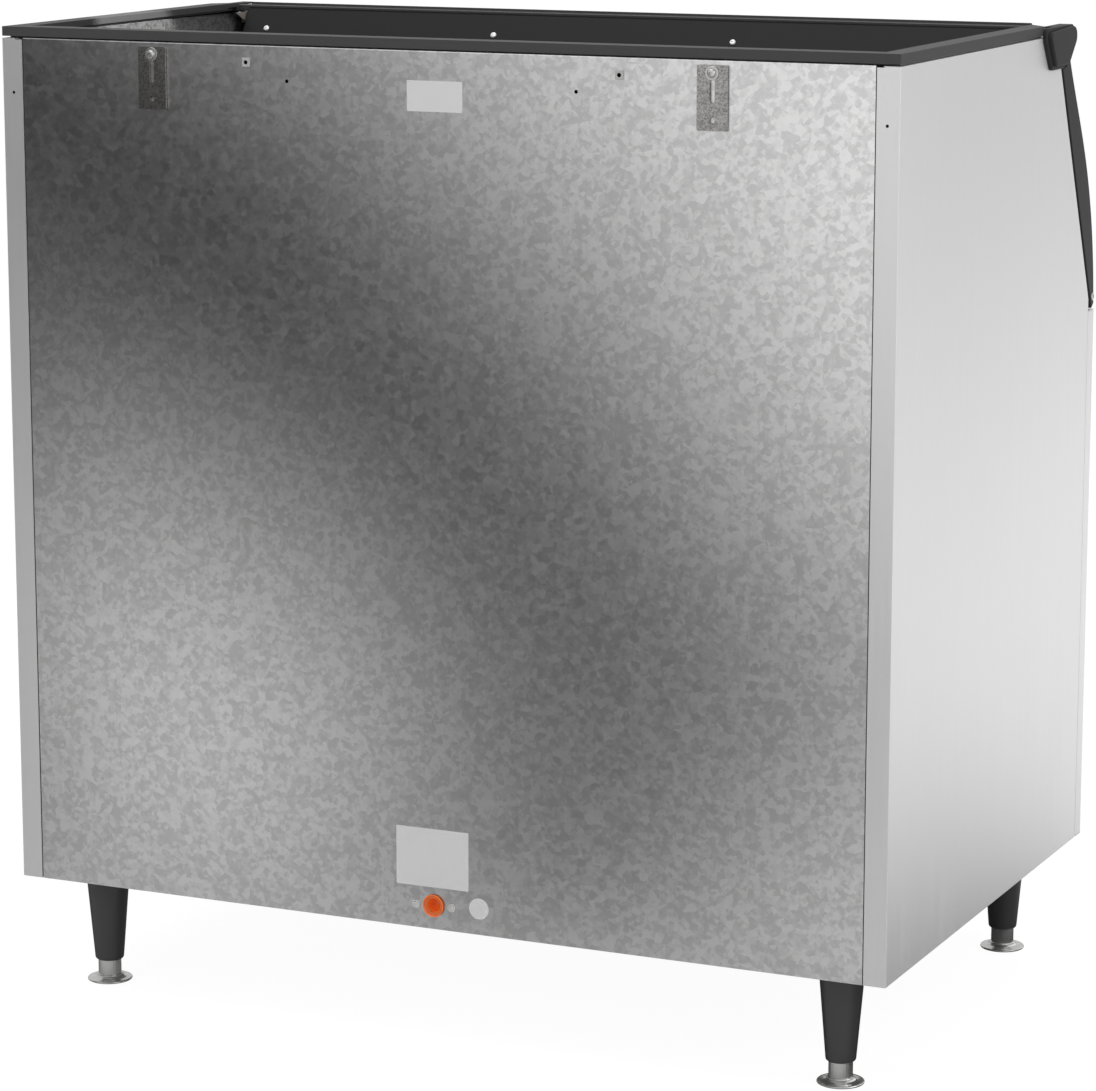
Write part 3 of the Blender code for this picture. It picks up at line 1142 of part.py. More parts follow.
def build_baffle():
    """Sloping sheet that turns falling ice to the back, hemmed at its foot."""
    mesh = bmesh.new()
    middle = RIM_FRONT_OPENING_DEPTH - FIT_GAP - BAFFLE_SHEET / 2
    hem_depth, hem_height = baffle_point(BAFFLE_LENGTH, 0)
    stations = [(middle, BAFFLE_TOP_HEIGHT), baffle_point(0, 0), (hem_depth, hem_height),
                (hem_depth, hem_height - BAFFLE_HEM)]
    rows = []
    for depth, height in stations:
        rows.append([mesh.verts.new(side_place(depth, height, x))
                     for x in (BAFFLE_HALF_WIDTH, -BAFFLE_HALF_WIDTH)])
    for low, high in zip(rows, rows[1:]):
        mesh.faces.new((low[0], low[1], high[1], high[0]))
    bmesh.ops.recalc_face_normals(mesh, faces=mesh.faces[:])
    baffle = new_object("ice_baffle", mesh, "black_plastic")
    wall = baffle.modifiers.new("sheet", "SOLIDIFY")
    wall.thickness = BAFFLE_SHEET
    wall.offset = 0
    wall.use_even_offset = True
    holes = bmesh.new()
    lean = math.radians(BAFFLE_SLOPE_DEG)
    normal = Vector((0, math.cos(lean), math.sin(lean)))
    under = -BAFFLE_SHEET / 2 - FIT_GAP
    for index in range(BAFFLE_SCREW_COUNT):
        x = (index - (BAFFLE_SCREW_COUNT - 1) / 2) * BAFFLE_SCREW_SPACING
        depth, height = baffle_point(BAFFLE_SCREW_DOWN, BAFFLE_SHEET / 2 + FIT_GAP)
        seat = side_place(depth, height, x)
        radius = BAFFLE_SCREW_RADIUS
        shank = BAFFLE_SHANK_RADIUS
        profile = [(0, -BAFFLE_SHANK_LENGTH), (shank, -BAFFLE_SHANK_LENGTH), (shank, 0),
                   (radius, 0), (radius, BAFFLE_SCREW_HEAD / 2),
                   (radius * 0.7, BAFFLE_SCREW_HEAD), (0, BAFFLE_SCREW_HEAD)]
        turned(f"baffle_screw_{index + 1}", profile, seat, normal, 16, "white_nylon")
        start = seat - normal * (BAFFLE_SHANK_LENGTH + FIT_GAP)
        add_turned(holes, cylinder_profile(shank + FIT_GAP, 0,
                                           BAFFLE_SHANK_LENGTH + CUT_OVERRUN), start,
                   normal, 16)
    guide = new_object("baffle_screw_holes", holes, "zinc")
    cut(baffle, guide)
    corners = [baffle_point(BAFFLE_SCREW_DOWN - RAIL_HALF_HEIGHT, under)]
    for height in (RAIL_ROOT_TOP_HEIGHT, RAIL_ROOT_FOOT_HEIGHT):
        corners.append((header_back_depth(height) - FIT_GAP, height))
    corners.append(baffle_point(BAFFLE_SCREW_DOWN + RAIL_HALF_HEIGHT, under))
    rail = side_prism("baffle_rail", corners, -RAIL_HALF_WIDTH, RAIL_HALF_WIDTH,
                      "black_plastic")
    step = rail.modifiers.new("screw_holes", "BOOLEAN")
    step.operation = "DIFFERENCE"
    step.object = guide
    build_gussets()


def build_gussets():
    """Triangular end brackets of the baffle, each with a flange on the header's rear face."""
    front = header_back_depth(GUSSET_TOP_HEIGHT) - FIT_GAP
    outline = [(GUSSET_BACK_DEPTH, GUSSET_TOP_HEIGHT), (front, GUSSET_TOP_HEIGHT),
               (front, GUSSET_FOOT_HEIGHT),
               (front - GUSSET_TIP_WIDTH, GUSSET_FOOT_HEIGHT)]
    for side, sign in SIDES.items():
        near = sign * GUSSET_HALF_WIDTH
        plate = side_prism(f"{side}_baffle_gusset", outline, near,
                           near + sign * GUSSET_THICKNESS, "zinc")
        flange = box(f"{side}_gusset_flange", (near, near + sign * GUSSET_FLANGE),
                     (front - GUSSET_THICKNESS, front),
                     (GUSSET_FOOT_HEIGHT, GUSSET_TOP_HEIGHT), "zinc")
        join(plate, flange)


# Rear fittings

def bracket_places():
    """X of the left and right machine brackets' bolts."""
    half = BRACKET_SPACING / 2
    return {"left": BRACKET_CENTRE_OFFSET - half, "right": BRACKET_CENTRE_OFFSET + half}


def build_machine_brackets():
    """Slotted brackets that hang on a bolt each and swing up to hold the machine."""
    inner = -FIT_GAP
    outer = inner - BRACKET_THICKNESS
    for side, x in bracket_places().items():
        axis = make_axis(f"{side}_bolt_axis", rear_place(x, BOLT_HEIGHT, 0))
        mesh = bmesh.new()
        outline = rectangle(x - BRACKET_WIDTH / 2, x + BRACKET_WIDTH / 2,
                            BRACKET_TOP_HEIGHT - BRACKET_LENGTH, BRACKET_TOP_HEIGHT,
                            BRACKET_THICKNESS / 3, 2)
        add_prism(mesh, outline, inner, outer, rear_place)
        bracket = new_object(f"{side}_machine_bracket", mesh, "bracket_zinc")
        slot = bmesh.new()
        half = SLOT_WIDTH / 2
        outline = rectangle(x - half, x + half, BOLT_HEIGHT - SLOT_TRAVEL - half,
                            BOLT_HEIGHT + half, half * 0.999, 6)
        add_prism(slot, outline, CUT_OVERRUN, outer - CUT_OVERRUN, rear_place)
        cut(bracket, new_object(f"{side}_bracket_slot", slot, "zinc"))
        cut_holes(bracket, f"{side}_bracket_hole", [(x, BOLT_HEIGHT - BRACKET_HOLE_DROP)],
                  BRACKET_HOLE_RADIUS, outer - CUT_OVERRUN, CUT_OVERRUN, 20)
        set_origin(bracket, axis.location, axis)
        seat = side_place(outer - FIT_GAP, BOLT_HEIGHT, x)
        radius = BOLT_HEAD_RADIUS
        head = WASHER_THICKNESS
        length = BOLT_LENGTH + FIT_GAP - outer
        profile = [(0, -length), (BOLT_SHANK_RADIUS, -length), (BOLT_SHANK_RADIUS, 0),
                   (WASHER_RADIUS, 0), (WASHER_RADIUS, head), (radius, head)]
        for step in range(1, 4):
            angle = math.radians(30 * step)
            profile.append((radius * math.cos(angle) if step < 3 else 0,
                            head + BOLT_HEAD_HEIGHT * math.sin(angle)))
        bolt = turned(f"{side}_machine_bolt", profile, seat, (0, 1, 0), 24, "zinc")
        set_origin(bolt, axis.location, axis)


def build_grommets():
    """Square snap-in nuts in the back panel, for the machine's rear cover."""
    half = GROMMET_SIZE / 2
    stem = half - GROMMET_PROUD
    levels = [(half - GROMMET_PROUD / 2, -GROMMET_PROUD), (half, -GROMMET_PROUD / 2),
              (half, 0), (stem, 0), (stem, GROMMET_STEM)]
    for side, sign in SIDES.items():
        x = sign * GROMMET_HALF_SPACING
        mesh = bmesh.new()
        loops = []
        for size, depth in levels:
            corners = rectangle(x - size, x + size, GROMMET_HEIGHT - size,
                                GROMMET_HEIGHT + size)
            loops.append([mesh.verts.new(rear_place(a, b, depth)) for a, b in corners])
        mesh.faces.new(loops[0])
        mesh.faces.new(list(reversed(loops[-1])))
        for one, two in zip(loops, loops[1:]):
            for index in range(4):
                after = (index + 1) % 4
                mesh.faces.new((one[index], one[after], two[after], two[index]))
        bmesh.ops.recalc_face_normals(mesh, faces=mesh.faces[:])
        nut = new_object(f"{side}_square_nut", mesh, "white_nylon")
        cut_holes(nut, f"{side}_nut_hole", [(x, GROMMET_HEIGHT)], GROMMET_HOLE_RADIUS,
                  -CUT_OVERRUN, GROMMET_STEM / 2)


def build_drain():
    """Drain tube through the back wall, its hollow plug and the two screws beside it."""
    centre = rear_place(0, DRAIN_HEIGHT, 0)
    outer = DRAIN_BORE_RADIUS + DRAIN_TUBE_WALL
    inside_end = LINER_BACK_DEPTH + DRAIN_FLANGE_THICKNESS
    profile = [(DRAIN_BORE_RADIUS, 0), (outer, 0), (outer, inside_end),
               (DRAIN_BORE_RADIUS, inside_end)]
    turned("drain_tube", profile, centre, (0, -1, 0), 32, "white_nylon")
    rim = PLUG_RIM_WIDTH
    shank = DRAIN_BORE_RADIUS - FIT_GAP
    cup = shank - rim
    top = PLUG_PROUD
    seat = FIT_GAP
    profile = [(0, -PLUG_SHANK_LENGTH), (shank * PLUG_TIP_SHARE, -PLUG_SHANK_LENGTH),
               (shank, -PLUG_SHANK_LENGTH + rim), (shank, seat), (PLUG_RADIUS, seat),
               (PLUG_RADIUS, top - rim / 2), (PLUG_RADIUS - rim / 2, top),
               (PLUG_RADIUS - rim, top), (PLUG_RADIUS - 1.5 * rim, top - rim / 2),
               (cup, seat - rim), (cup * PLUG_CUP_SHARE, -PLUG_CUP_DEPTH), (0, -PLUG_CUP_DEPTH - rim / 2)]
    plug = turned("drain_plug", profile, centre, (0, 1, 0), 32, "orange_plastic")
    set_origin(plug, centre)
    for side, sign in SIDES.items():
        seat = rear_place(sign * DRAIN_SCREW_OFFSET, DRAIN_HEIGHT, 0)
        radius = DRAIN_SCREW_RADIUS
        shank = DRAIN_SCREW_SHANK_RADIUS
        length = BOLT_LENGTH
        profile = [(0, -length), (shank, -length), (shank, 0), (radius, 0),
                   (radius, DRAIN_SCREW_HEAD / 3), (radius * SCREW_CROWN_SHARE, DRAIN_SCREW_HEAD),
                   (0, DRAIN_SCREW_HEAD)]
        turned(f"{side}_drain_screw", profile, seat, (0, 1, 0), 16, "zinc")


# Legs

def leg_places():
    return [(sign * LEG_HALF_SPACING, depth)
            for depth in (LEG_BACK_DEPTH, LEG_FRONT_DEPTH) for sign in SIDES.values()]


def build_legs():
    """Tapered legs with a stud through the pan and its plate, and telescoping feet."""
    names = ["back_left", "back_right", "front_left", "front_right"]
    plate_low = 2 * (SHEET + FIT_GAP)
    half = LEG_PLATE_SIZE / 2
    for name, (x, depth) in zip(names, leg_places()):
        top = rear_place(x, SHEET, depth)
        foot = -(LEG_LENGTH + SHEET)
        edge = LEG_EDGE_RADIUS
        bore = STEM_RADIUS + FIT_GAP
        slope = (LEG_TOP_RADIUS - LEG_FOOT_RADIUS) / LEG_LENGTH
        profile = [(0, STUD_RISE), (STUD_RADIUS, STUD_RISE), (STUD_RADIUS, 0),
                   (LEG_TOP_RADIUS, 0), (LEG_FOOT_RADIUS + slope * edge, foot + edge),
                   (LEG_FOOT_RADIUS - edge * 0.3, foot + edge * 0.25),
                   (LEG_FOOT_RADIUS - edge * 0.8, foot), (bore, foot),
                   (bore, foot + LEG_BORE_DEPTH), (0, foot + LEG_BORE_DEPTH)]
        turned(f"{name}_leg", profile, top, (0, 0, 1), LEG_SEGMENTS, "charcoal_plastic")
        outline = rectangle(x - half, x + half, depth - half,
                            min(depth + half, PAN_FRONT_DEPTH), LEG_PLATE_THICKNESS, 2)
        mesh = bmesh.new()
        add_prism(mesh, outline, plate_low, plate_low + LEG_PLATE_THICKNESS, plan_place)
        plate = new_object(f"{name}_leg_plate", mesh, "zinc")
        hole = bmesh.new()
        run = plate_low + LEG_PLATE_THICKNESS + 2 * CUT_OVERRUN
        add_turned(hole, cylinder_profile(STUD_RADIUS + FIT_GAP, 0, run),
                   rear_place(x, -CUT_OVERRUN, depth), (0, 0, 1), 16)
        cut(plate, new_object(f"{name}_plate_hole", hole, "zinc"))
        build_foot(name, x, depth)


def build_foot(name, x, depth):
    """Fluted stem standing on a flared disc."""
    floor = Vector((x, y_at(depth), 0))
    stem_top = LEG_HEIGHT - LEG_LENGTH + STEM_INSERTION
    mesh = bmesh.new()
    profile = [(0, 0), (DISC_RADIUS, 0), (DISC_RADIUS, DISC_EDGE),
               (DISC_RADIUS * 0.72, DISC_EDGE + (DISC_NECK_HEIGHT - DISC_EDGE) * 0.45),
               (STEM_RADIUS * 1.06, DISC_NECK_HEIGHT), (STEM_RADIUS, DISC_NECK_HEIGHT),
               (STEM_RADIUS, stem_top), (0, stem_top)]
    add_turned(mesh, profile, floor, (0, 0, 1), 2 * STEM_FLATS)
    foot = new_object(f"{name}_foot", mesh, "zinc", 40)
    set_origin(foot, floor)


def build():
    clear_scene()
    for name, (colour, roughness, metallic) in FINISHES.items():
        materials[name] = make_material(name, colour, roughness, metallic)
    build_side_panels()
    build_front_panel()
    build_bottom_panel()
    build_back_panel()
    build_insulation()
    build_liner()
    build_rim()
    build_surround()
    build_header_and_sill()
    hinge = make_axis("door_hinge_axis", slope_place(0, PIVOT_UP, PIVOT_OUT))
    build_leaf(hinge)
    build_door_inside(hinge)
    build_hinges()
    build_baffle()
    build_machine_brackets()
    build_grommets()
    build_drain()
    build_legs()


materials = {}
build()
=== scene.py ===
"""Looks of the ice storage bin: steel skins, moulded parts, fittings, studio and camera."""
import json
import math

import bpy
from bpy.props import FloatProperty, FloatVectorProperty, PointerProperty
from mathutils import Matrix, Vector


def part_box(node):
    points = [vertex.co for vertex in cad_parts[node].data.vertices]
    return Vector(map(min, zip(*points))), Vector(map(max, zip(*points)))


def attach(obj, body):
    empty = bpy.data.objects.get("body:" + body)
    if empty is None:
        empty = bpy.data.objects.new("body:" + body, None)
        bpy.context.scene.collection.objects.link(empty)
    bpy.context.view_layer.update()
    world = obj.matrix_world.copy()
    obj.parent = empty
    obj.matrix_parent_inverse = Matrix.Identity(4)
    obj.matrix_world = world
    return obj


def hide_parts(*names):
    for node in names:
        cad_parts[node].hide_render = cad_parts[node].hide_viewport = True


bl_info = {
    "name": "Ice storage bin",
    "version": (1, 0, 0),
    "blender": (4, 5, 0),
    "location": "View3D > Sidebar > Ice bin",
    "description": "Builds the looks of an ice storage bin around its fixed frame",
    "category": "Object",
}

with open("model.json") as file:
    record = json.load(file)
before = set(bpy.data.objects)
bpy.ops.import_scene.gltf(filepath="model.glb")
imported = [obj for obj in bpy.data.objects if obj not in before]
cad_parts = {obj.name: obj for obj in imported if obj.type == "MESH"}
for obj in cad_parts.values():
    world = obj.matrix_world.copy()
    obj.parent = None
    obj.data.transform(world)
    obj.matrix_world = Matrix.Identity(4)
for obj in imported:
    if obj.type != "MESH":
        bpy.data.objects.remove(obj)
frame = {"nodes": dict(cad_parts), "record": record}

# What the frame says
NODE_BODY = {node: body for body, nodes in frame["record"]["behaviour"]["bodies"].items()
             for node in nodes}
SHELL_LOW, SHELL_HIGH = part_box("left_side_panel")
REAR = SHELL_HIGH.y
BASE = SHELL_LOW.z
HALF_WIDTH = -SHELL_LOW.x
SIDES = {"left": -1, "right": 1}
CORNERS = ("back_left", "back_right", "front_left", "front_right")

# Outline of the cabinet, as depths from the rear face and heights from the bottom edge
BODY_HEIGHT = 1.1120
BODY_DEPTH = 0.7945
SEAM_DEPTH = 0.7688
FRONT_HEIGHT = 0.7330
SEAT_TOP = (0.6214, 1.0674)
SEAT_FOOT = (0.7633, 0.7610)
SLOPE = math.atan2(SEAT_FOOT[0] - SEAT_TOP[0], SEAT_TOP[1] - SEAT_FOOT[1])

# Gaps, directions and reaches that many pieces share
FIT_GAP = 0.0003
BACK_INSET = 0.0003
CUT_START = 0.0020
CUT_DEPTH = 0.0060
MERGE = 0.00002
NEAR = 0.0001
FORWARDS = Vector((0, -1, 0))
BACKWARDS = Vector((0, 1, 0))
UPWARDS = Vector((0, 0, 1))


# Sizes and colours that a user would change

def length(name, description, default, low=0.0, high=2.0):
    return FloatProperty(name=name, description=description, default=default, min=low,
                         max=high, unit="LENGTH", precision=5)


def colour(name, description, default):
    return FloatVectorProperty(name=name, description=description, default=default, size=3,
                               min=0.0, max=1.0, subtype="COLOR")


def share(name, description, default, high=1.0):
    return FloatProperty(name=name, description=description, default=default, min=0.0,
                         max=high)


class IceBinSizes(bpy.types.PropertyGroup):
    sheet: length("Sheet", "Thickness of the folded steel skins", 0.0012)
    fold_radius: length("Fold radius", "Outer radius of the skins' folds", 0.0008)
    relief: length("Fold relief", "Gap between two folds at a corner, wider than a sheet",
                   0.0016)
    rear_flange: length("Rear flange", "Width of the side skins' rear flange", 0.0292)
    small_hole: length("Small hole", "Radius of the small holes in the rear flanges", 0.0020)
    pilot_hole: length("Pilot hole", "Radius of the pilot holes beside the nuts", 0.0024)
    nut_hole: length("Nut hole", "Radius of the hole in each snap-in nut", 0.0027)
    small_edge: length("Small edge", "Rounding of moulded edges", 0.0006)
    cap_edge: length("Cap edge", "Rounding of the hinge caps' raised face", 0.0024)
    leaf_edge: length("Leaf edge", "Rounding of the door leaf's ends", 0.0014)
    leaf_wall: length("Leaf wall", "Wall of the hollow door leaf", 0.0030)
    label_thickness: length("Label thickness", "Thickness of the blank labels", 0.00025)
    spangle: length("Spangle", "Size of the zinc crystals on the back", 0.0106)
    leg_top: length("Leg top radius", "Radius of a leg where it meets the cabinet", 0.0295)
    leg_foot: length("Leg foot radius", "Radius of a leg at its lower end", 0.0190)
    leg_bore: length("Leg bore radius", "Radius of the bore that the foot slides in", 0.0157)
    stem: length("Stem radius", "Radius of a levelling foot's fluted stem", 0.0154)
    disc: length("Disc radius", "Radius of a levelling foot's disc", 0.0300)


class IceBinColours(bpy.types.PropertyGroup):
    stainless: colour("Stainless", "Side and front skins", (0.58, 0.58, 0.58))
    zinc_light: colour("Spangle light", "Light crystals of the back", (0.665, 0.662, 0.662))
    zinc_dark: colour("Spangle dark", "Dark crystals of the back", (0.520, 0.517, 0.517))
    bracket: colour("Brackets", "Speckled zinc of the machine brackets", (0.26, 0.255, 0.25))
    gusset: colour("Gussets", "Small plates at the baffle's ends", (0.20, 0.180, 0.165))
    fastener: colour("Fasteners", "Bright zinc of screws and feet", (0.60, 0.60, 0.59))
    rim: colour("Rim", "Moulded deck rim", (0.057, 0.057, 0.058))
    charcoal: colour("Charcoal", "Door leaf, hinge caps and legs", (0.033, 0.033, 0.034))
    black: colour("Black", "Baffle and door surround", (0.017, 0.017, 0.018))
    liner: colour("Liner", "Moulded grey of the tub", (0.080, 0.080, 0.079))
    rubber: colour("Rubber", "Door seal", (0.012, 0.012, 0.012))
    nylon: colour("Nylon", "Snap-in nuts, bushes and drain tube", (0.36, 0.36, 0.355))
    foam: colour("Foam", "Insulation", (0.34, 0.30, 0.22))
    orange: colour("Orange", "Drain plug", (0.95, 0.185, 0.026))
    label: colour("Label", "Blank labels and sticker", (0.56, 0.56, 0.56))


class IceBinStudio(bpy.types.PropertyGroup):
    ambient: share("Ambient", "World light on the object", 0.62, 2.0)
    mirror: share("Mirrored backdrop", "Backdrop that metal shows", 0.80, 2.0)
    side_lamp: share("Side lamp", "Power in watts of the lamp at the cabinet's left", 60, 900)
    top_lamp: share("Top lamp", "Power in watts of the lamp overhead", 60, 900)
    rear_lamp: share("Rear lamp", "Power in watts of the lamp behind the camera", 45, 900)
    liner_spot: share("Liner spot", "Power in watts of the patch of light in the tub", 520, 900)
    rear_card: share("Rear card", "Brightness of the card that the back mirrors", 1.0, 3.0)
    side_card: share("Side card", "Brightness of the card that the side mirrors", 1.0, 3.0)


# Places

def side_point(depth, height, x):
    return Vector((x, REAR - depth, BASE + height))


def rear_point(x, height, depth=0.0):
    return side_point(depth, height, x)


def slope_point(up, out, x):
    depth = SEAT_FOOT[0] - up * math.sin(SLOPE) + out * math.cos(SLOPE)
    height = SEAT_FOOT[1] + up * math.cos(SLOPE) + out * math.sin(SLOPE)
    return side_point(depth, height, x)


def middle(node):
    low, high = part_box(node)
    return (low + high) / 2


# Modelling helpers

def deselect():
    if bpy.context.mode != "OBJECT":
        bpy.ops.object.mode_set(mode="OBJECT")
    bpy.ops.object.select_all(action="DESELECT")


def choose(piece):
    """Make a piece the active one and the only one selected."""
    deselect()
    bpy.context.view_layer.objects.active = piece
    piece.select_set(True)


def edit(piece, kind="EDGE"):
    """Open a piece in edit mode with nothing selected."""
    choose(piece)
    bpy.ops.object.mode_set(mode="EDIT")
    bpy.ops.mesh.select_mode(type=kind)
    bpy.ops.mesh.select_all(action="DESELECT")


def leave():
    bpy.ops.object.mode_set(mode="OBJECT")


def pick_edges(piece, wanted):
    """Select in edit mode the edges whose two ends pass a test."""
    edit(piece)
    leave()
    points = piece.data.vertices
    for edge in piece.data.edges:
        edge.select = wanted(points[edge.vertices[0]].co, points[edge.vertices[1]].co)
    bpy.ops.object.mode_set(mode="EDIT")


def outwards(piece):
    edit(piece)
    bpy.ops.mesh.select_all(action="SELECT")
    bpy.ops.mesh.remove_doubles(threshold=MERGE)
    bpy.ops.mesh.normals_make_consistent(inside=False)
    leave()


def outline_piece(name, points, fill="NGON"):
    """A flat ring of points, filled or open, started from a circle."""
    deselect()
    bpy.ops.mesh.primitive_circle_add(vertices=len(points), fill_type=fill)
    piece = bpy.context.object
    piece.name = name
    piece.data.name = name
    for vertex, point in zip(piece.data.vertices, points):
        vertex.co = point
    piece.data.update()
    return piece


def block(name, points, run):
    """An outline extruded along a vector into a solid."""
    piece = outline_piece(name, points)
    edit(piece, "FACE")
    bpy.ops.mesh.select_all(action="SELECT")
    bpy.ops.mesh.extrude_region_move(TRANSFORM_OT_translate={"value": run})
    leave()
    outwards(piece)
    return piece


def turned(name, profile, centre, axis, steps=64):
    """Spin a profile of (radius, run) pairs; a profile that starts on the axis ends on it."""
    axis = Vector(axis).normalized()
    across = axis.orthogonal().normalized()
    points = [centre + across * radius + axis * run for radius, run in profile]
    piece = outline_piece(name, points, "NOTHING")
    if profile[0][0] == 0:
        ends = (piece.data.vertices[0].co.copy(), piece.data.vertices[-1].co.copy())
        pick_edges(piece, lambda a, b: a in ends and b in ends)
        bpy.ops.mesh.delete(type="EDGE_FACE")
        leave()
    edit(piece)
    bpy.ops.mesh.select_all(action="SELECT")
    bpy.ops.mesh.spin(steps=steps, angle=2 * math.pi, center=centre, axis=axis)
    leave()
    outwards(piece)
    return piece


def apply_modifier(piece, step):
    choose(piece)
    bpy.ops.object.modifier_apply(modifier=step.name)


def combine(piece, tool, operation):
    """Cut or join with another solid, which is used up."""
    step = piece.modifiers.new(operation.lower(), "BOOLEAN")
    step.operation = operation
    step.solver = "EXACT"
    step.object = tool
    apply_modifier(piece, step)
    bpy.data.objects.remove(tool, do_unlink=True)


def cut(piece, tool):
    combine(piece, tool, "DIFFERENCE")


def join(piece, tool):
    combine(piece, tool, "UNION")


def bore(piece, centre, axis, radius, depth, steps=32):
    """Round hole that starts at a point and runs along an axis."""
    profile = [(0, 0), (radius, 0), (radius, depth), (0, depth)]
    cut(piece, turned("bore", profile, Vector(centre), axis, steps))


def round_edges(piece, width, segments=2, angle=40):
    step = piece.modifiers.new("edges", "BEVEL")
    step.width = width
    step.segments = segments
    step.limit_method = "ANGLE"
    step.angle_limit = math.radians(angle)
    step.harden_normals = False
    apply_modifier(piece, step)


def smooth(piece, angle=32):
    """Smooth shading that keeps wide faces flat beside their rounded edges."""
    choose(piece)
    bpy.ops.object.shade_smooth_by_angle(angle=math.radians(angle))
    step = piece.modifiers.new("flat_faces", "WEIGHTED_NORMAL")
    step.keep_sharp = True
    apply_modifier(piece, step)


def rounded(corners, steps=6):
    """Outline with each corner (a, b, radius) turned into an arc."""
    points = []
    for index, (a, b, radius) in enumerate(corners):
        here = Vector((a, b))
        before = Vector(corners[index - 1][:2]) - here
        after = Vector(corners[(index + 1) % len(corners)][:2]) - here
        if radius == 0:
            points.append((a, b))
            continue
        half = before.angle(after) / 2
        reach = radius / math.tan(half)
        centre = here + (before.normalized() + after.normalized()).normalized() * (
            radius / math.sin(half))
        first = here + before.normalized() * reach - centre
        last = here + after.normalized() * reach - centre
        start = math.atan2(first.y, first.x)
        turn = math.atan2(last.y, last.x) - start
        turn = (turn + math.pi) % (2 * math.pi) - math.pi
        for step in range(steps + 1):
            angle = start + turn * step / steps
            points.append((centre.x + radius * math.cos(angle),
                           centre.y + radius * math.sin(angle)))
    return points


def arc(centre, radius, start, end, steps):
    """Points of (radius, run) on an arc, its angles in degrees."""
    points = []
    for step in range(steps + 1):
        angle = math.radians(start + (end - start) * step / steps)
        points.append((centre[0] + radius * math.cos(angle),
                       centre[1] + radius * math.sin(angle)))
    return points


def merged_copy(node):
    """Copy of a CAD node, its loose triangles merged into whole faces."""
    deselect()
    piece = bpy.data.objects.new(f"{node}_finished", frame["nodes"][node].data.copy())
    bpy.context.scene.collection.objects.link(piece)
    piece.data.name = piece.name
    piece.data.materials.clear()
    edit(piece, "VERT")
    bpy.ops.mesh.customdata_custom_splitnormals_clear()
    bpy.ops.mesh.select_all(action="SELECT")
    bpy.ops.mesh.remove_doubles(threshold=MERGE)
    bpy.ops.mesh.dissolve_limited(angle_limit=math.radians(1))
    bpy.ops.mesh.normals_make_consistent(inside=False)
    leave()
    return piece


def add_detail(piece, finish, body):
    """Give a piece its finish and body."""
    piece.data.materials.clear()
    piece.data.materials.append(finish_material(finish))
    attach(piece, body)


def dress(piece, finish, node):
    """Give a piece its finish, and let it stand for a CAD node on the node's body."""
    add_detail(piece, finish, NODE_BODY[node])
    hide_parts(node)


def refinish(finish, *nodes):
    """Keep CAD nodes as they are, with a better material."""
    for node in nodes:
        for place in frame["nodes"][node].material_slots:
            place.material = finish_material(finish)


def edged_copies(finish, edge, *nodes, angle=40):
    """Stand for CAD nodes with copies; an edge over zero rounds the edges past the angle."""
    for node in nodes:
        piece = merged_copy(node)
        if edge:
            round_edges(piece, edge, 2, angle)
        smooth(piece, 35)
        dress(piece, finish, node)


# Finishes

def add_node(tree, kind, inputs=None, **settings):
    """Add a shader node; an input is a value or another node's output."""
    made = tree.nodes.new(kind)
    for name, value in settings.items():
        setattr(made, name, value)
    for name, value in (inputs or {}).items():
        if isinstance(value, bpy.types.NodeSocket):
            tree.links.new(value, made.inputs[name])
        else:
            made.inputs[name].default_value = value
    return made


def new_finish(name, base, roughness, metallic=0.0, specular=0.5):
    material = bpy.data.materials.new(f"{name}_finish")
    material.use_nodes = True
    shader = material.node_tree.nodes["Principled BSDF"]
    shader.inputs["Base Color"].default_value = (*base, 1.0)
    shader.inputs["Roughness"].default_value = roughness
    shader.inputs["Metallic"].default_value = metallic
    shader.inputs["Specular IOR Level"].default_value = specular
    material.diffuse_color = (*base, 1.0)
    return material, material.node_tree, shader


def object_place(tree, scale=(1, 1, 1)):
    where = add_node(tree, "ShaderNodeTexCoord").outputs["Object"]
    return add_node(tree, "ShaderNodeMapping", {"Vector": where, "Scale": scale}
                    ).outputs["Vector"]


def noise(tree, where, scale, detail=3.0, roughness=0.5):
    return add_node(tree, "ShaderNodeTexNoise",
                    {"Vector": where, "Scale": scale, "Detail": detail,
                     "Roughness": roughness}).outputs["Fac"]


def blend(tree, factor, one, two):
    """Colour between two, by a factor."""
    mix = add_node(tree, "ShaderNodeMix", data_type="RGBA")
    for socket, value in ((mix.inputs[0], factor), (mix.inputs[6], one), (mix.inputs[7], two)):
        if isinstance(value, bpy.types.NodeSocket):
            tree.links.new(value, socket)
        else:
            socket.default_value = value if isinstance(value, float) else (*value, 1.0)
    return mix.outputs[2]


def remap(tree, value, low, high, from_low=0.0, from_high=1.0, course="LINEAR"):
    return add_node(tree, "ShaderNodeMapRange",
                    {"Value": value, "From Min": from_low, "From Max": from_high,
                     "To Min": low, "To Max": high}, interpolation_type=course).outputs[0]


def calculate(tree, operation, one, two):
    return add_node(tree, "ShaderNodeMath", {0: one, 1: two}, operation=operation).outputs[0]


def bump(tree, shader, height, strength, distance):
    made = add_node(tree, "ShaderNodeBump", {"Height": height, "Strength": strength,
                                             "Distance": distance})
    tree.links.new(made.outputs["Normal"], shader.inputs["Normal"])


def waver(tree, shader, value, roughness, share, low=0.3, high=0.7):
    """Let a pattern between low and high move the roughness up and down by a share."""
    rough = remap(tree, value, roughness * (1 - share), roughness * (1 + share), low, high)
    tree.links.new(rough, shader.inputs["Roughness"])


def scaled(base, factor):
    return tuple(min(1.0, channel * factor) for channel in base)


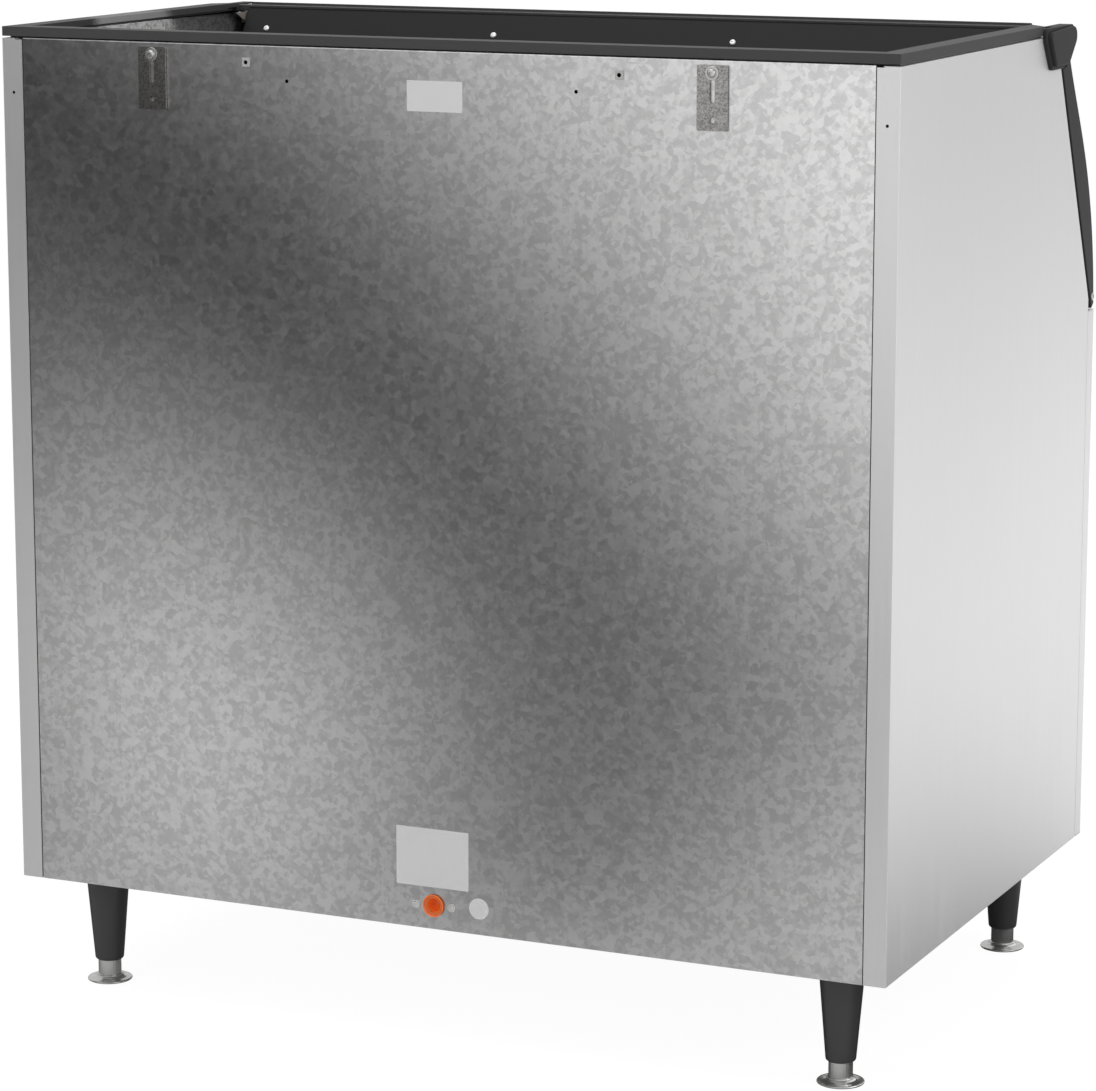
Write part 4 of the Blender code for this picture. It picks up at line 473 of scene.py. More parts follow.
def crystal_cells(tree, where, size):
    """One random value for each zinc crystal of about a size, with wavy borders."""
    warp = add_node(tree, "ShaderNodeTexNoise",
                    {"Vector": where, "Scale": 1.3 / size, "Detail": 2.0})
    moved = add_node(tree, "ShaderNodeVectorMath",
                     {0: warp.outputs["Color"], 1: (size * 0.5,) * 3, 2: where},
                     operation="MULTIPLY_ADD")
    cells = add_node(tree, "ShaderNodeTexVoronoi",
                     {"Vector": moved.outputs[0], "Scale": 1.0 / size, "Randomness": 1.0})
    return add_node(tree, "ShaderNodeSeparateColor", {0: cells.outputs["Color"]}).outputs


SMALL_CRYSTAL_SHARE = 0.55
CRYSTAL_SHADES = (0.18, 0.82)


def spangled_zinc(name, light, dark, size, roughness):
    """Galvanised sheet: overlapping crystals of two sizes, each with its own shade."""
    material, tree, shader = new_finish(name, light, roughness, 1.0)
    where = object_place(tree)
    large = crystal_cells(tree, where, size)
    small = crystal_cells(tree, where, size * SMALL_CRYSTAL_SHARE)
    shade = calculate(tree, "ADD", calculate(tree, "MULTIPLY", large[0], 0.5),
                      calculate(tree, "MULTIPLY", small[0], 0.5))
    shade = remap(tree, shade, 0.0, 1.0, *CRYSTAL_SHADES, "SMOOTHSTEP")
    tree.links.new(blend(tree, shade, dark, light), shader.inputs["Base Color"])
    waver(tree, shader, large[1], roughness, 0.08, 0.0, 1.0)
    bump(tree, shader, calculate(tree, "ADD", large[2], small[2]), 0.05, 0.0002)
    return material


def brushed_steel(name, base, roughness, grain, metallic=1.0, relief=0.04, vary=0.15):
    """Satin sheet with fine streaks; grain is the pattern's scale along each axis."""
    material, tree, shader = new_finish(name, base, roughness, metallic)
    streaks = noise(tree, object_place(tree, grain), 1.0, 4.0, 0.6)
    shade = blend(tree, streaks, scaled(base, 1 - vary * 0.3), scaled(base, 1 + vary * 0.2))
    tree.links.new(shade, shader.inputs["Base Color"])
    waver(tree, shader, streaks, roughness, vary)
    bump(tree, shader, streaks, relief, 0.0001)
    return material


def moulded(name, base, roughness, grain_scale=900.0, strength=0.12, mottle=0.06,
            specular=0.5):
    """Moulded plastic: faint mottling and a fine grain."""
    material, tree, shader = new_finish(name, base, roughness, 0.0, specular)
    where = object_place(tree)
    cloud = noise(tree, where, 14.0, 4.0, 0.6)
    tree.links.new(blend(tree, cloud, scaled(base, 1 - mottle), scaled(base, 1 + mottle)),
                   shader.inputs["Base Color"])
    grain = noise(tree, where, grain_scale, 2.0)
    waver(tree, shader, grain, roughness, 0.10)
    bump(tree, shader, grain, strength, 0.0002)
    return material


# Painted shade: the plug's recessed ring, under its rim, is darkened in the colour
CUP_RING = REAR + 0.0006
CUP_RING_REACH = (0.0007, 0.0024)
CUP_RING_PAINTED_SHADE = 0.66


def cupped(name, base, roughness):
    """Moulded plastic with painted shade on its recessed ring, darker than its rim and its cup.
    """
    material = moulded(name, base, roughness, grain_scale=500.0, strength=0.25, mottle=0.16)
    tree = material.node_tree
    shader = tree.nodes["Principled BSDF"]
    plain = shader.inputs["Base Color"].links[0].from_socket
    run = add_node(tree, "ShaderNodeSeparateXYZ", {"Vector": object_place(tree)}).outputs["Y"]
    away = calculate(tree, "ABSOLUTE", calculate(tree, "SUBTRACT", run, CUP_RING), 0.0)
    dark = remap(tree, away, 0.0, 1.0, *CUP_RING_REACH, "SMOOTHSTEP")
    # painted shade: the colour darkens on the recessed ring and fades back to plain away from
    # it
    tree.links.new(blend(tree, dark, scaled(base, CUP_RING_PAINTED_SHADE), plain),
                   shader.inputs["Base Color"])
    return material


def speckled(name, base, roughness, size, contrast, metallic=0.0, tint=(1.0, 1.0, 1.0)):
    """Fine grains, some lighter and some darker, some of them tinted."""
    material, tree, shader = new_finish(name, base, roughness, metallic)
    where = object_place(tree)
    cells = crystal_cells(tree, where, size)
    fine = noise(tree, where, 1.8 / size, 2.0)
    shade = calculate(tree, "ADD", calculate(tree, "MULTIPLY", cells[0], 0.6),
                      calculate(tree, "MULTIPLY", fine, 0.5))
    grey = blend(tree, shade, scaled(base, 1 - contrast), scaled(base, 1 + contrast))
    warm = tuple(channel * hue for channel, hue in zip(scaled(base, 1 + contrast), tint))
    tinted = remap(tree, cells[1], 0.0, 0.6, 0.7, 1.0)
    tree.links.new(blend(tree, tinted, grey, warm), shader.inputs["Base Color"])
    waver(tree, shader, fine, roughness, 0.15)
    bump(tree, shader, fine, 0.10, 0.0002)
    return material


def fine_zinc(name, base, roughness, metallic, grain=(60, 60, 60)):
    """Plated metal of small fittings, almost without streaks."""
    return brushed_steel(name, base, roughness, grain, metallic, relief=0.002, vary=0.05)


def make_finish(name):
    tones = bpy.context.scene.ice_bin_colours
    plating = tones.fastener
    spangle = bpy.context.scene.ice_bin_sizes.spangle
    makers = {
        "stainless": lambda: brushed_steel(name, tones.stainless, 0.44, grain=(260, 260, 6),
                                           metallic=0.57),
        "galvanised": lambda: spangled_zinc(name, tones.zinc_light, tones.zinc_dark, spangle,
                                            roughness=0.33),
        "bracket_zinc": lambda: speckled(name, tones.bracket, 0.36, size=0.0018,
                                         contrast=0.65, metallic=1.0,
                                         tint=(1.06, 1.0, 0.95)),
        "gusset_zinc": lambda: speckled(name, tones.gusset, 0.50, size=0.0022, contrast=0.30),
        "bright_zinc": lambda: fine_zinc(name, scaled(plating, 0.75), 0.26, metallic=0.75),
        "fluted_zinc": lambda: fine_zinc(name, scaled(plating, 0.95), 0.22, metallic=0.85,
                                         grain=(60, 60, 12)),
        "pale_zinc": lambda: fine_zinc(name, scaled(plating, 1.25), 0.20, metallic=0.8),
        "white_screw": lambda: fine_zinc(name, (0.80, 0.80, 0.78), 0.30, metallic=0.4),
        "charcoal_plastic": lambda: moulded(name, tones.charcoal, 0.44, specular=0.03),
        "rim_plastic": lambda: moulded(name, tones.rim, 0.44, specular=0.04),
        "leg_plastic": lambda: moulded(name, tones.charcoal, 0.40, specular=0.50),
        "black_plastic": lambda: moulded(name, tones.black, 0.46, specular=0.12),
        "liner_plastic": lambda: speckled(name, tones.liner, 0.42, size=0.0034,
                                          contrast=0.90),
        "rubber": lambda: moulded(name, tones.rubber, 0.62, grain_scale=600.0, strength=0.2),
        "nylon": lambda: moulded(name, tones.nylon, 0.45, grain_scale=700.0, strength=0.08,
                                 mottle=0.04),
        "foam": lambda: speckled(name, tones.foam, 0.90, size=0.0016, contrast=0.12),
        "orange_plastic": lambda: cupped(name, tones.orange, 0.34),
        "label": lambda: moulded(name, tones.label, 0.60, grain_scale=400.0, strength=0.06,
                                 mottle=0.025),
        # painted shade: near-black finish of the discs that stand for the shade deep in small
        # holes
        "hollow": lambda: moulded(name, (0.002, 0.002, 0.002), 0.90, grain_scale=300.0,
                                  strength=0.05, specular=0.0),
    }
    return makers[name]()


def finish_material(name):
    return bpy.data.materials.get(f"{name}_finish") or make_finish(name)


# Near-black discs set into small holes are painted shade: they stand for the shade deep in each
# hole
HOLE_DISC_CLEARANCE = 0.00004
HOLE_DISC_EDGE = 0.0001
HOLE_DISC_THICKNESS = 0.0005


def hole_shade_disc(name, x, height, radius, depth):
    """Dark disc a little way into a small hole of the rear face: painted shade, so that the
    hole reads as deep.
    """
    reach = radius - HOLE_DISC_CLEARANCE
    profile = [(0, 0), (reach - HOLE_DISC_EDGE, 0), (reach, HOLE_DISC_EDGE),
               (reach, HOLE_DISC_THICKNESS), (0, HOLE_DISC_THICKNESS)]
    disc = turned(name, profile, rear_point(x, height, depth), FORWARDS, 24)
    smooth(disc)
    add_detail(disc, "hollow", "cabinet")


# Steel skins

TOP_FLANGE = 0.0225
SEAT_FLANGE = 0.0120
SEAM_FLANGE = 0.0120
BOTTOM_FLANGE = 0.0200
FRONT_RETURN = 0.0254
NOTCH_INSIDE = 0.0020
NOTCH_OUTSIDE = 0.0100
NOTCH_FOOT = 1.1104
NOTCH_TOP = 1.1140
FLANGE_HOLE_INSET = 0.0156
FLANGE_HOLE_HEIGHT = 1.0428
PILOT_HOLE_X = 0.1970
PILOT_HOLE_HEIGHT = 1.0696
PILOT_HOLE_DEPTH = 0.0045
# The dark strip in each rear seam is painted shade of the gap between flange and back panel
SEAM_SHADOW_FOOT = 0.0010
SEAM_SHADOW_THICKNESS = 0.0006


def on_line(a, b, line):
    return (((a - line[0]).length < NEAR and (b - line[1]).length < NEAR)
            or ((a - line[1]).length < NEAR and (b - line[0]).length < NEAR))


def folded_panel(name, corners, folds, place, inward):
    """Flat sheet with folded edges: flaps drawn out, folds rounded, then given its wall.

    The first edge's flap runs its whole length; the others stop short of their neighbours.
    """
    sizes = bpy.context.scene.ice_bin_sizes
    first, last = Vector(corners[0]), Vector(corners[-1])
    outline = [tuple(first + (last - first).normalized() * sizes.relief), tuple(first)]
    for index, corner in enumerate(corners[1:], 1):
        start = Vector(corner)
        along = (Vector(corners[(index + 1) % len(corners)]) - start).normalized()
        outline += [tuple(start), tuple(start + along * sizes.relief)]
    points = [place(a, b) for a, b in outline]
    panel = outline_piece(name, points)
    lines = []
    for index, width in enumerate(folds):
        line = (points[2 * index + 1], points[(2 * index + 2) % len(points)])
        lines.append(line)
        pick_edges(panel, lambda a, b: on_line(a, b, line))
        bpy.ops.mesh.extrude_edges_move(TRANSFORM_OT_translate={"value": inward * width})
    pick_edges(panel, lambda a, b: any(on_line(a, b, line) for line in lines))
    bpy.ops.mesh.bevel(offset=sizes.fold_radius, segments=4, affect="EDGES")
    bpy.ops.mesh.select_all(action="SELECT")
    bpy.ops.mesh.remove_doubles(threshold=MERGE)
    bpy.ops.mesh.normals_make_consistent(inside=False)
    leave()
    widest = max(panel.data.polygons, key=lambda face: face.area)
    if widest.normal.dot(inward) > 0:
        edit(panel, "FACE")
        bpy.ops.mesh.select_all(action="SELECT")
        bpy.ops.mesh.flip_normals()
        leave()
    wall = panel.modifiers.new("sheet", "SOLIDIFY")
    wall.solidify_mode = "NON_MANIFOLD"
    wall.nonmanifold_thickness_mode = "CONSTRAINTS"
    wall.thickness = sizes.sheet
    wall.offset = -1
    apply_modifier(panel, wall)
    return panel


class ICEBIN_OT_skins(bpy.types.Operator):
    """Side, front, back and bottom skins, with the notches and holes of the rear flanges"""
    bl_idname = "icebin.skins"
    bl_label = "Steel skins"

    def execute(self, context):
        sizes = context.scene.ice_bin_sizes
        for side, sign in SIDES.items():
            self.side_skin(side, sign, sizes)
        self.front_skin()
        edged_copies("galvanised", 0, "bottom_panel")
        self.back_skin(sizes)
        return {"FINISHED"}

    def side_skin(self, side, sign, sizes):
        """Side panel that follows the door's slope, with a notch and hole in its flange."""
        seat_at_top = SEAT_TOP[0] - (BODY_HEIGHT - SEAT_TOP[1]) * math.tan(SLOPE)
        seam_height = SEAT_FOOT[1] - (SEAM_DEPTH - SEAT_FOOT[0]) / math.tan(SLOPE)
        corners = [(0, 0), (0, BODY_HEIGHT), (seat_at_top, BODY_HEIGHT),
                   (SEAM_DEPTH, seam_height), (SEAM_DEPTH, 0)]
        folds = [sizes.rear_flange, TOP_FLANGE, SEAT_FLANGE, SEAM_FLANGE, BOTTOM_FLANGE]
        panel = folded_panel(f"{side}_side_skin", corners, folds,
                             lambda depth, height: side_point(depth, height,
                                                              sign * HALF_WIDTH),
                             Vector((-sign, 0, 0)))
        inner = HALF_WIDTH - sizes.rear_flange
        near, far = sign * (inner - NOTCH_INSIDE), sign * (inner + NOTCH_OUTSIDE)
        notch = [rear_point(x, height, -CUT_START)
                 for x, height in ((near, NOTCH_FOOT), (far, NOTCH_FOOT),
                                   (far, NOTCH_TOP), (near, NOTCH_TOP))]
        cut(panel, block("notch", notch, FORWARDS * CUT_DEPTH))
        hole_x = sign * (HALF_WIDTH - FLANGE_HOLE_INSET)
        bore(panel, rear_point(hole_x, FLANGE_HOLE_HEIGHT, -CUT_START), FORWARDS,
             sizes.small_hole, CUT_DEPTH)
        smooth(panel)
        dress(panel, "stainless", f"{side}_side_panel")
        hole_shade_disc(f"{side}_flange_hole", hole_x, FLANGE_HOLE_HEIGHT, sizes.small_hole,
                    FIT_GAP)
        self.seam(side, sign, inner)

    def seam(self, side, sign, inner):
        """Dark strip of painted shade in the gap between the back panel and a rear flange."""
        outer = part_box("back_panel")[1].x
        ends = [(outer, SEAM_SHADOW_FOOT), (inner, SEAM_SHADOW_FOOT), (inner, BODY_HEIGHT),
                (outer, BODY_HEIGHT)]
        points = [rear_point(sign * x, height, BACK_INSET) for x, height in ends]
        # painted shade: a charcoal strip where the gap lies in shadow
        bead = block(f"{side}_rear_seam", points, FORWARDS * SEAM_SHADOW_THICKNESS)
        smooth(bead)
        add_detail(bead, "charcoal_plastic", "cabinet")

    def front_skin(self):
        corners = [(-HALF_WIDTH, 0), (HALF_WIDTH, 0), (HALF_WIDTH, FRONT_HEIGHT),
                   (-HALF_WIDTH, FRONT_HEIGHT)]
        folds = [BOTTOM_FLANGE, FRONT_RETURN, FRONT_RETURN, FRONT_RETURN]
        panel = folded_panel("front_skin", corners, folds,
                             lambda x, height: rear_point(x, height, BODY_DEPTH), BACKWARDS)
        smooth(panel)
        dress(panel, "stainless", "front_panel")

    def back_skin(self, sizes):
        """Back panel, merged from its CAD faces, with the pilot holes beside the nuts."""
        panel = merged_copy("back_panel")
        for side, sign in SIDES.items():
            hole = rear_point(sign * PILOT_HOLE_X, PILOT_HOLE_HEIGHT, -CUT_START)
            bore(panel, hole, FORWARDS, sizes.pilot_hole, PILOT_HOLE_DEPTH)
            hole_shade_disc(f"{side}_pilot_hole", sign * PILOT_HOLE_X, PILOT_HOLE_HEIGHT,
                        sizes.pilot_hole, BACK_INSET)
        smooth(panel, 35)
        dress(panel, "galvanised", "back_panel")


class ICEBIN_OT_insides(bpy.types.Operator):
    """Tub, foam and the plates that the cabinet hides"""
    bl_idname = "icebin.insides"
    bl_label = "Tub and insulation"

    def execute(self, context):
        edged_copies("liner_plastic", 0, "liner")
        refinish("foam", "left_wall_insulation", "right_wall_insulation",
                 "back_wall_insulation", "front_wall_insulation", "floor_insulation",
                 "door_insulation")
        refinish("bright_zinc", *(f"{corner}_leg_plate" for corner in CORNERS))
        return {"FINISHED"}


class ICEBIN_OT_rim(bpy.types.Operator):
    """Deck rim, its mitred corners and front bar softened at their edges"""
    bl_idname = "icebin.rim"
    bl_label = "Deck rim"

    def execute(self, context):
        edged_copies("rim_plastic", context.scene.ice_bin_sizes.small_edge, "top_rim")
        return {"FINISHED"}


# Door, as distances up its slope and out from it

PIVOT_UP = 0.3610
PIVOT_OUT = 0.0240
BARREL_RADIUS = 0.0160
CREST = (0.1550, 0.0565)
LIP = (-0.0316, 0.0192)
TIP = (-0.0335, 0.0083)
NECK_HALF_WIDTH = 0.5945
BACK_FACE = 0.0080
BEHIND = BACK_FACE - 0.0040
CAVITY_FOOT = 0.0080
CAVITY_LENGTH = 0.3280
CAVITY_STEPS = 20
PULL_FOOT = -0.0240
PULL_TOP = -0.0060
PULL_BOTTOM = BACK_FACE + 0.0060
PULL_RADIUS = 0.0030
PULL_HALF_WIDTH = 0.2500
SOCKET_DEPTH = 0.0300
NECK_SOCKET_RADIUS = 0.0319
BUSH_SOCKET_INSET = 0.0243
BUSH_SOCKET_RADIUS = 0.0073
INNER_PANEL_EDGE = 0.0012
GASKET_EDGE = 0.0010
SURROUND_EDGE = 0.0008
DOOR_SCREW_PLACE = (0.7865, 0.7505)
DOOR_SCREW_HOLE_START = 0.0036
DOOR_SCREW_HOLE_RADIUS = 0.0031
DOOR_SCREW_HOLE_DEPTH = 0.0100
DOOR_SCREW_TOP = 0.0014
DOOR_SCREW_PROFILE = [(0, -0.0030), (0.0027, -0.0030), (0.0027, 0), (0.0054, 0),
                      *arc((0.0042, 0.0001), 0.0012, 0, 90, 4), (0, DOOR_SCREW_TOP)]
DOOR_SCREW_CROSS = (0.0030, 0.0007, 0.0008)


def leaf_front(up):
    """How far the leaf's front stands out at a place up its slope."""
    if up >= CREST[0]:
        part = (PIVOT_UP - up) / (PIVOT_UP - CREST[0])
        neck = PIVOT_OUT + BARREL_RADIUS
        return neck + (CREST[1] - neck) * (3 * part ** 2 - 2 * part ** 3)
    part = (CREST[0] - up) / (CREST[0] - LIP[0])
    return CREST[1] - (CREST[1] - LIP[1]) * part ** 2


def leaf_outline(steps=26):
    points = [TIP]
    for low, high in ((LIP[0], CREST[0]), (CREST[0], PIVOT_UP)):
        for step in range(steps):
            up = low + (high - low) * step / steps
            points.append((up, leaf_front(up)))
    for step in range(steps + 1):
        angle = math.pi * step / steps
        points.append((PIVOT_UP + BARREL_RADIUS * math.sin(angle),
                       PIVOT_OUT + BARREL_RADIUS * math.cos(angle)))
    return points


class ICEBIN_OT_door(bpy.types.Operator):
    """Bowed door leaf with its finger pull, inner panel, seal, bushes and side screws"""
    bl_idname = "icebin.door"
    bl_label = "Door"

    def execute(self, context):
        self.leaf(context.scene.ice_bin_sizes)
        edged_copies("liner_plastic", INNER_PANEL_EDGE, "door_inner_panel")
        edged_copies("rubber", GASKET_EDGE, "door_gasket")
        edged_copies("black_plastic", SURROUND_EDGE, "door_surround", "door_header",
                     "door_sill")
        edged_copies("nylon", 0, "left_hinge_bush", "right_hinge_bush")
        for side, sign in SIDES.items():
            face = side_point(*DOOR_SCREW_PLACE, sign * HALF_WIDTH)
            axis = Vector((sign, 0, 0))
            screw = turned(f"{side}_door_screw_finished", DOOR_SCREW_PROFILE, face, axis, 40)
            cross_recess(screw, face + axis * DOOR_SCREW_TOP, axis, *DOOR_SCREW_CROSS)
            smooth(screw)
            dress(screw, "bright_zinc", f"{side}_door_screw")
        return {"FINISHED"}

    def leaf(self, sizes):
        """Hollow leaf, open behind, with its pull and the sockets of bushes and screws."""
        leaf = self.across("door_leaf_finished", leaf_outline(), HALF_WIDTH - FIT_GAP)
        round_edges(leaf, sizes.leaf_edge, 3, 60)
        cavity = [(CAVITY_FOOT, BEHIND)]
        for step in range(CAVITY_STEPS + 1):
            up = CAVITY_FOOT + CAVITY_LENGTH * step / CAVITY_STEPS
            cavity.append((up, leaf_front(up) - sizes.leaf_wall))
        cavity.append((CAVITY_FOOT + CAVITY_LENGTH, BEHIND))
        cut(leaf, self.across("cavity", cavity, NECK_HALF_WIDTH - sizes.leaf_wall))
        pull = rounded([(PULL_FOOT, BEHIND, 0), (PULL_FOOT, PULL_BOTTOM, PULL_RADIUS),
                        (PULL_TOP, PULL_BOTTOM, PULL_RADIUS), (PULL_TOP, BEHIND, 0)])
        cut(leaf, self.across("pull", pull, PULL_HALF_WIDTH))
        for sign in SIDES.values():
            axis = Vector((sign, 0, 0))
            centre = slope_point(PIVOT_UP, PIVOT_OUT, sign * NECK_HALF_WIDTH)
            bore(leaf, centre, axis, NECK_SOCKET_RADIUS, SOCKET_DEPTH, 96)
            centre = slope_point(PIVOT_UP, PIVOT_OUT,
                                 sign * (NECK_HALF_WIDTH - BUSH_SOCKET_INSET))
            bore(leaf, centre, axis, BUSH_SOCKET_RADIUS, SOCKET_DEPTH, 48)
            screw = side_point(*DOOR_SCREW_PLACE, sign * (HALF_WIDTH - DOOR_SCREW_HOLE_START))
            bore(leaf, screw, axis, DOOR_SCREW_HOLE_RADIUS, DOOR_SCREW_HOLE_DEPTH)
        smooth(leaf, 30)
        dress(leaf, "charcoal_plastic", "door_leaf")

    def across(self, name, outline, half):
        points = [slope_point(up, out, -half) for up, out in outline]
        return block(name, points, Vector((2 * half, 0, 0)))


def cross_recess(piece, face, axis, reach, half, depth):
    """Driver's cross cut into a screw's face."""
    axis = Vector(axis).normalized()
    one = axis.orthogonal().normalized()
    two = axis.cross(one)
    for along, over in ((one, two), (two, one)):
        corners = [face + along * a + over * b + axis * depth
                   for a, b in ((-reach, -half), (reach, -half), (reach, half),
                                (-reach, half))]
        cut(piece, block("recess", corners, -2 * depth * axis))


# Hinges

CAP_PROUD = 0.0115
CAP_WALL = 0.0028
CAP_HOLLOW_START = 0.0040
CAP_OUTLINE = [(0.5395, 1.1185, 0.0060), (0.5680, 1.0738, 0.0085),
               (0.6220, 1.0738, 0.0040), (0.6735, 1.1236, 0.0130)]
CAP_BASE_THICKNESS = 0.0054
CAP_BASE = [(0.5285, 1.1241, 0.0110), (0.5670, 1.0690, 0.0100),
            (0.6172, 1.0690, 0.0030), (0.6615, 1.1241, 0.0060)]
CAP_BASE_EDGE = 0.0014
HOOD = [(0.5840, 1.1216), (0.6490, 1.1216), (0.6490, 1.1241), (0.5840, 1.1241)]
HOOD_INNER_X = 0.5970
HOOD_STEP = 0.0020
HINGE_PLATE_EDGE = 0.0004


def inset(corners, distance):
    """Outline of (a, b, radius) corners moved inwards."""
    moved = []
    for index, (a, b, radius) in enumerate(corners):
        here = Vector((a, b))
        before = (here - Vector(corners[index - 1][:2])).normalized()
        after = (Vector(corners[(index + 1) % len(corners)][:2]) - here).normalized()
        first = Vector((-before.y, before.x))
        second = Vector((-after.y, after.x))
        here += (first + second) * distance / (1 + first.dot(second))
        moved.append((here.x, here.y, max(radius - distance, radius / 4)))
    return moved


class ICEBIN_OT_hinges(bpy.types.Operator):
    """Two-step hinge caps over the plates and pins"""
    bl_idname = "icebin.hinges"
    bl_label = "Hinges"

    def execute(self, context):
        edge = context.scene.ice_bin_sizes.cap_edge
        for side, sign in SIDES.items():
            face = sign * (HALF_WIDTH + FIT_GAP)
            outer = sign * (HALF_WIDTH + CAP_PROUD)
            cap = self.layer(f"{side}_hinge_cap_finished", CAP_OUTLINE, face, outer, edge)
            join(cap, self.layer("cap_base", CAP_BASE, face, face + sign * CAP_BASE_THICKNESS,
                                 CAP_BASE_EDGE))
            hollow = [side_point(a, b, face - sign * CAP_HOLLOW_START)
                      for a, b in rounded(inset(CAP_OUTLINE, CAP_WALL))]
            run = outer - face + sign * (CAP_HOLLOW_START - CAP_WALL)
            cut(cap, block("hollow", hollow, Vector((run, 0, 0))))
            hood = [side_point(a, b, sign * HOOD_INNER_X) for a, b in HOOD]
            run = face + sign * (CAP_BASE_THICKNESS - HOOD_STEP - HOOD_INNER_X)
            join(cap, block("hood", hood, Vector((run, 0, 0))))
            smooth(cap, 34)
            dress(cap, "charcoal_plastic", f"{side}_hinge_cap")
        edged_copies("bright_zinc", HINGE_PLATE_EDGE, "left_hinge_plate", "right_hinge_plate")
        edged_copies("bright_zinc", 0, "left_hinge_pin", "right_hinge_pin")
        return {"FINISHED"}

    def layer(self, name, outline, start, end, edge):
        """One step of a cap, its outer rim rounded over."""
        points = [side_point(a, b, start) for a, b in rounded(outline, 10)]
        piece = block(name, points, Vector((end - start, 0, 0)))
        pick_edges(piece, lambda a, b: abs(a.x - end) < MERGE and abs(b.x - end) < MERGE)
        bpy.ops.mesh.bevel(offset=edge, segments=5, affect="EDGES")
        leave()
        outwards(piece)
        return piece


# Baffle

BAFFLE_EDGE = 0.0007
RAIL_EDGE = 0.0008
GUSSET_EDGE = 0.0003
BAFFLE_LEAN = math.radians(32.8)
BAFFLE_NORMAL = Vector((0, math.cos(BAFFLE_LEAN), math.sin(BAFFLE_LEAN)))
WHITE_SCREW_SHANK = 0.0060
WHITE_SCREW_TOP = 0.0027
WHITE_SCREW_PROFILE = [(0, -WHITE_SCREW_SHANK), (0.0020, -WHITE_SCREW_SHANK), (0.0020, 0),
                       (0.0042, 0), (0.0042, 0.0008),
                       *arc((0.0022, 0.0006), 0.0020, 10, 90, 6), (0, WHITE_SCREW_TOP)]
WHITE_SCREW_CROSS = (0.0017, 0.0005, 0.0012)


class ICEBIN_OT_baffle(bpy.types.Operator):
    """Ice baffle with its rail, end gussets and white screws"""
    bl_idname = "icebin.baffle"
    bl_label = "Ice baffle"

    def execute(self, context):
        edged_copies("black_plastic", BAFFLE_EDGE, "ice_baffle", angle=25)
        edged_copies("black_plastic", RAIL_EDGE, "baffle_rail")
        edged_copies("gusset_zinc", GUSSET_EDGE, "left_baffle_gusset", "right_baffle_gusset")
        for number in range(1, 5):
            node = f"baffle_screw_{number}"
            centre = self.seat(node)
            screw = turned(f"{node}_finished", WHITE_SCREW_PROFILE, centre, BAFFLE_NORMAL, 40)
            cross_recess(screw, centre + BAFFLE_NORMAL * WHITE_SCREW_TOP, BAFFLE_NORMAL,
                         *WHITE_SCREW_CROSS)
            smooth(screw)
            dress(screw, "white_screw", node)
        return {"FINISHED"}

    def seat(self, node):
        """Where a screw's head meets the baffle: a shank's length above its CAD foot."""
        points = [vertex.co for vertex in frame["nodes"][node].data.vertices]
        centre = middle(node)
        reach = [(point - centre).dot(BAFFLE_NORMAL) for point in points]
        return centre + BAFFLE_NORMAL * (min(reach) + WHITE_SCREW_SHANK)


# Rear fittings

BRACKET_EDGE = 0.0003
BOLT_TOP = 0.0054
BOLT_SHANK_RADIUS = 0.0029
BOLT_PROFILE = [(BOLT_SHANK_RADIUS, 0), (0.0082, 0), (0.0085, 0.0003), (0.0085, 0.0009),
                (0.0082, 0.0012), (0.0060, 0.0012), (0.0058, 0.0020),
                *arc((0.0022, 0.0020), 0.0033, 10, 80, 8), (0.0022, BOLT_TOP),
                (0.0020, BOLT_TOP), (0.0017, 0.0034), (0, 0.0030)]
NUT_EDGE = 0.0005
NUT_HOLE_START = 0.0040
NUT_HOLE_DEPTH = 0.0050
NUT_BOTTOM = -0.0009
LABELS = {"upper_label": (-0.0452, 0.0304, 1.0386, 1.0765),
          "lower_label": (-0.0493, 0.0525, 0.0548, 0.1315)}
LABEL_RADIUS = 0.0012
STICKER_PLACE = (-0.0636, 0.0340)
STICKER_RADIUS = 0.0137
STICKER_BULGE = 0.0001


class ICEBIN_OT_brackets(bpy.types.Operator):
    """Slotted machine brackets and their bolts with washers"""
    bl_idname = "icebin.brackets"
    bl_label = "Machine brackets"

    def execute(self, context):
        edged_copies("bracket_zinc", BRACKET_EDGE, "left_machine_bracket",
                     "right_machine_bracket")
        for side in SIDES:
            node = f"{side}_machine_bolt"
            low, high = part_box(node)
            centre = Vector((middle(node).x, high.y - BOLT_TOP, middle(node).z))
            foot = low.y - centre.y
            profile = [(0, foot), (BOLT_SHANK_RADIUS, foot), *BOLT_PROFILE]
            bolt = turned(f"{node}_finished", profile, centre, BACKWARDS, 48)
            smooth(bolt)
            dress(bolt, "bright_zinc", node)
        return {"FINISHED"}


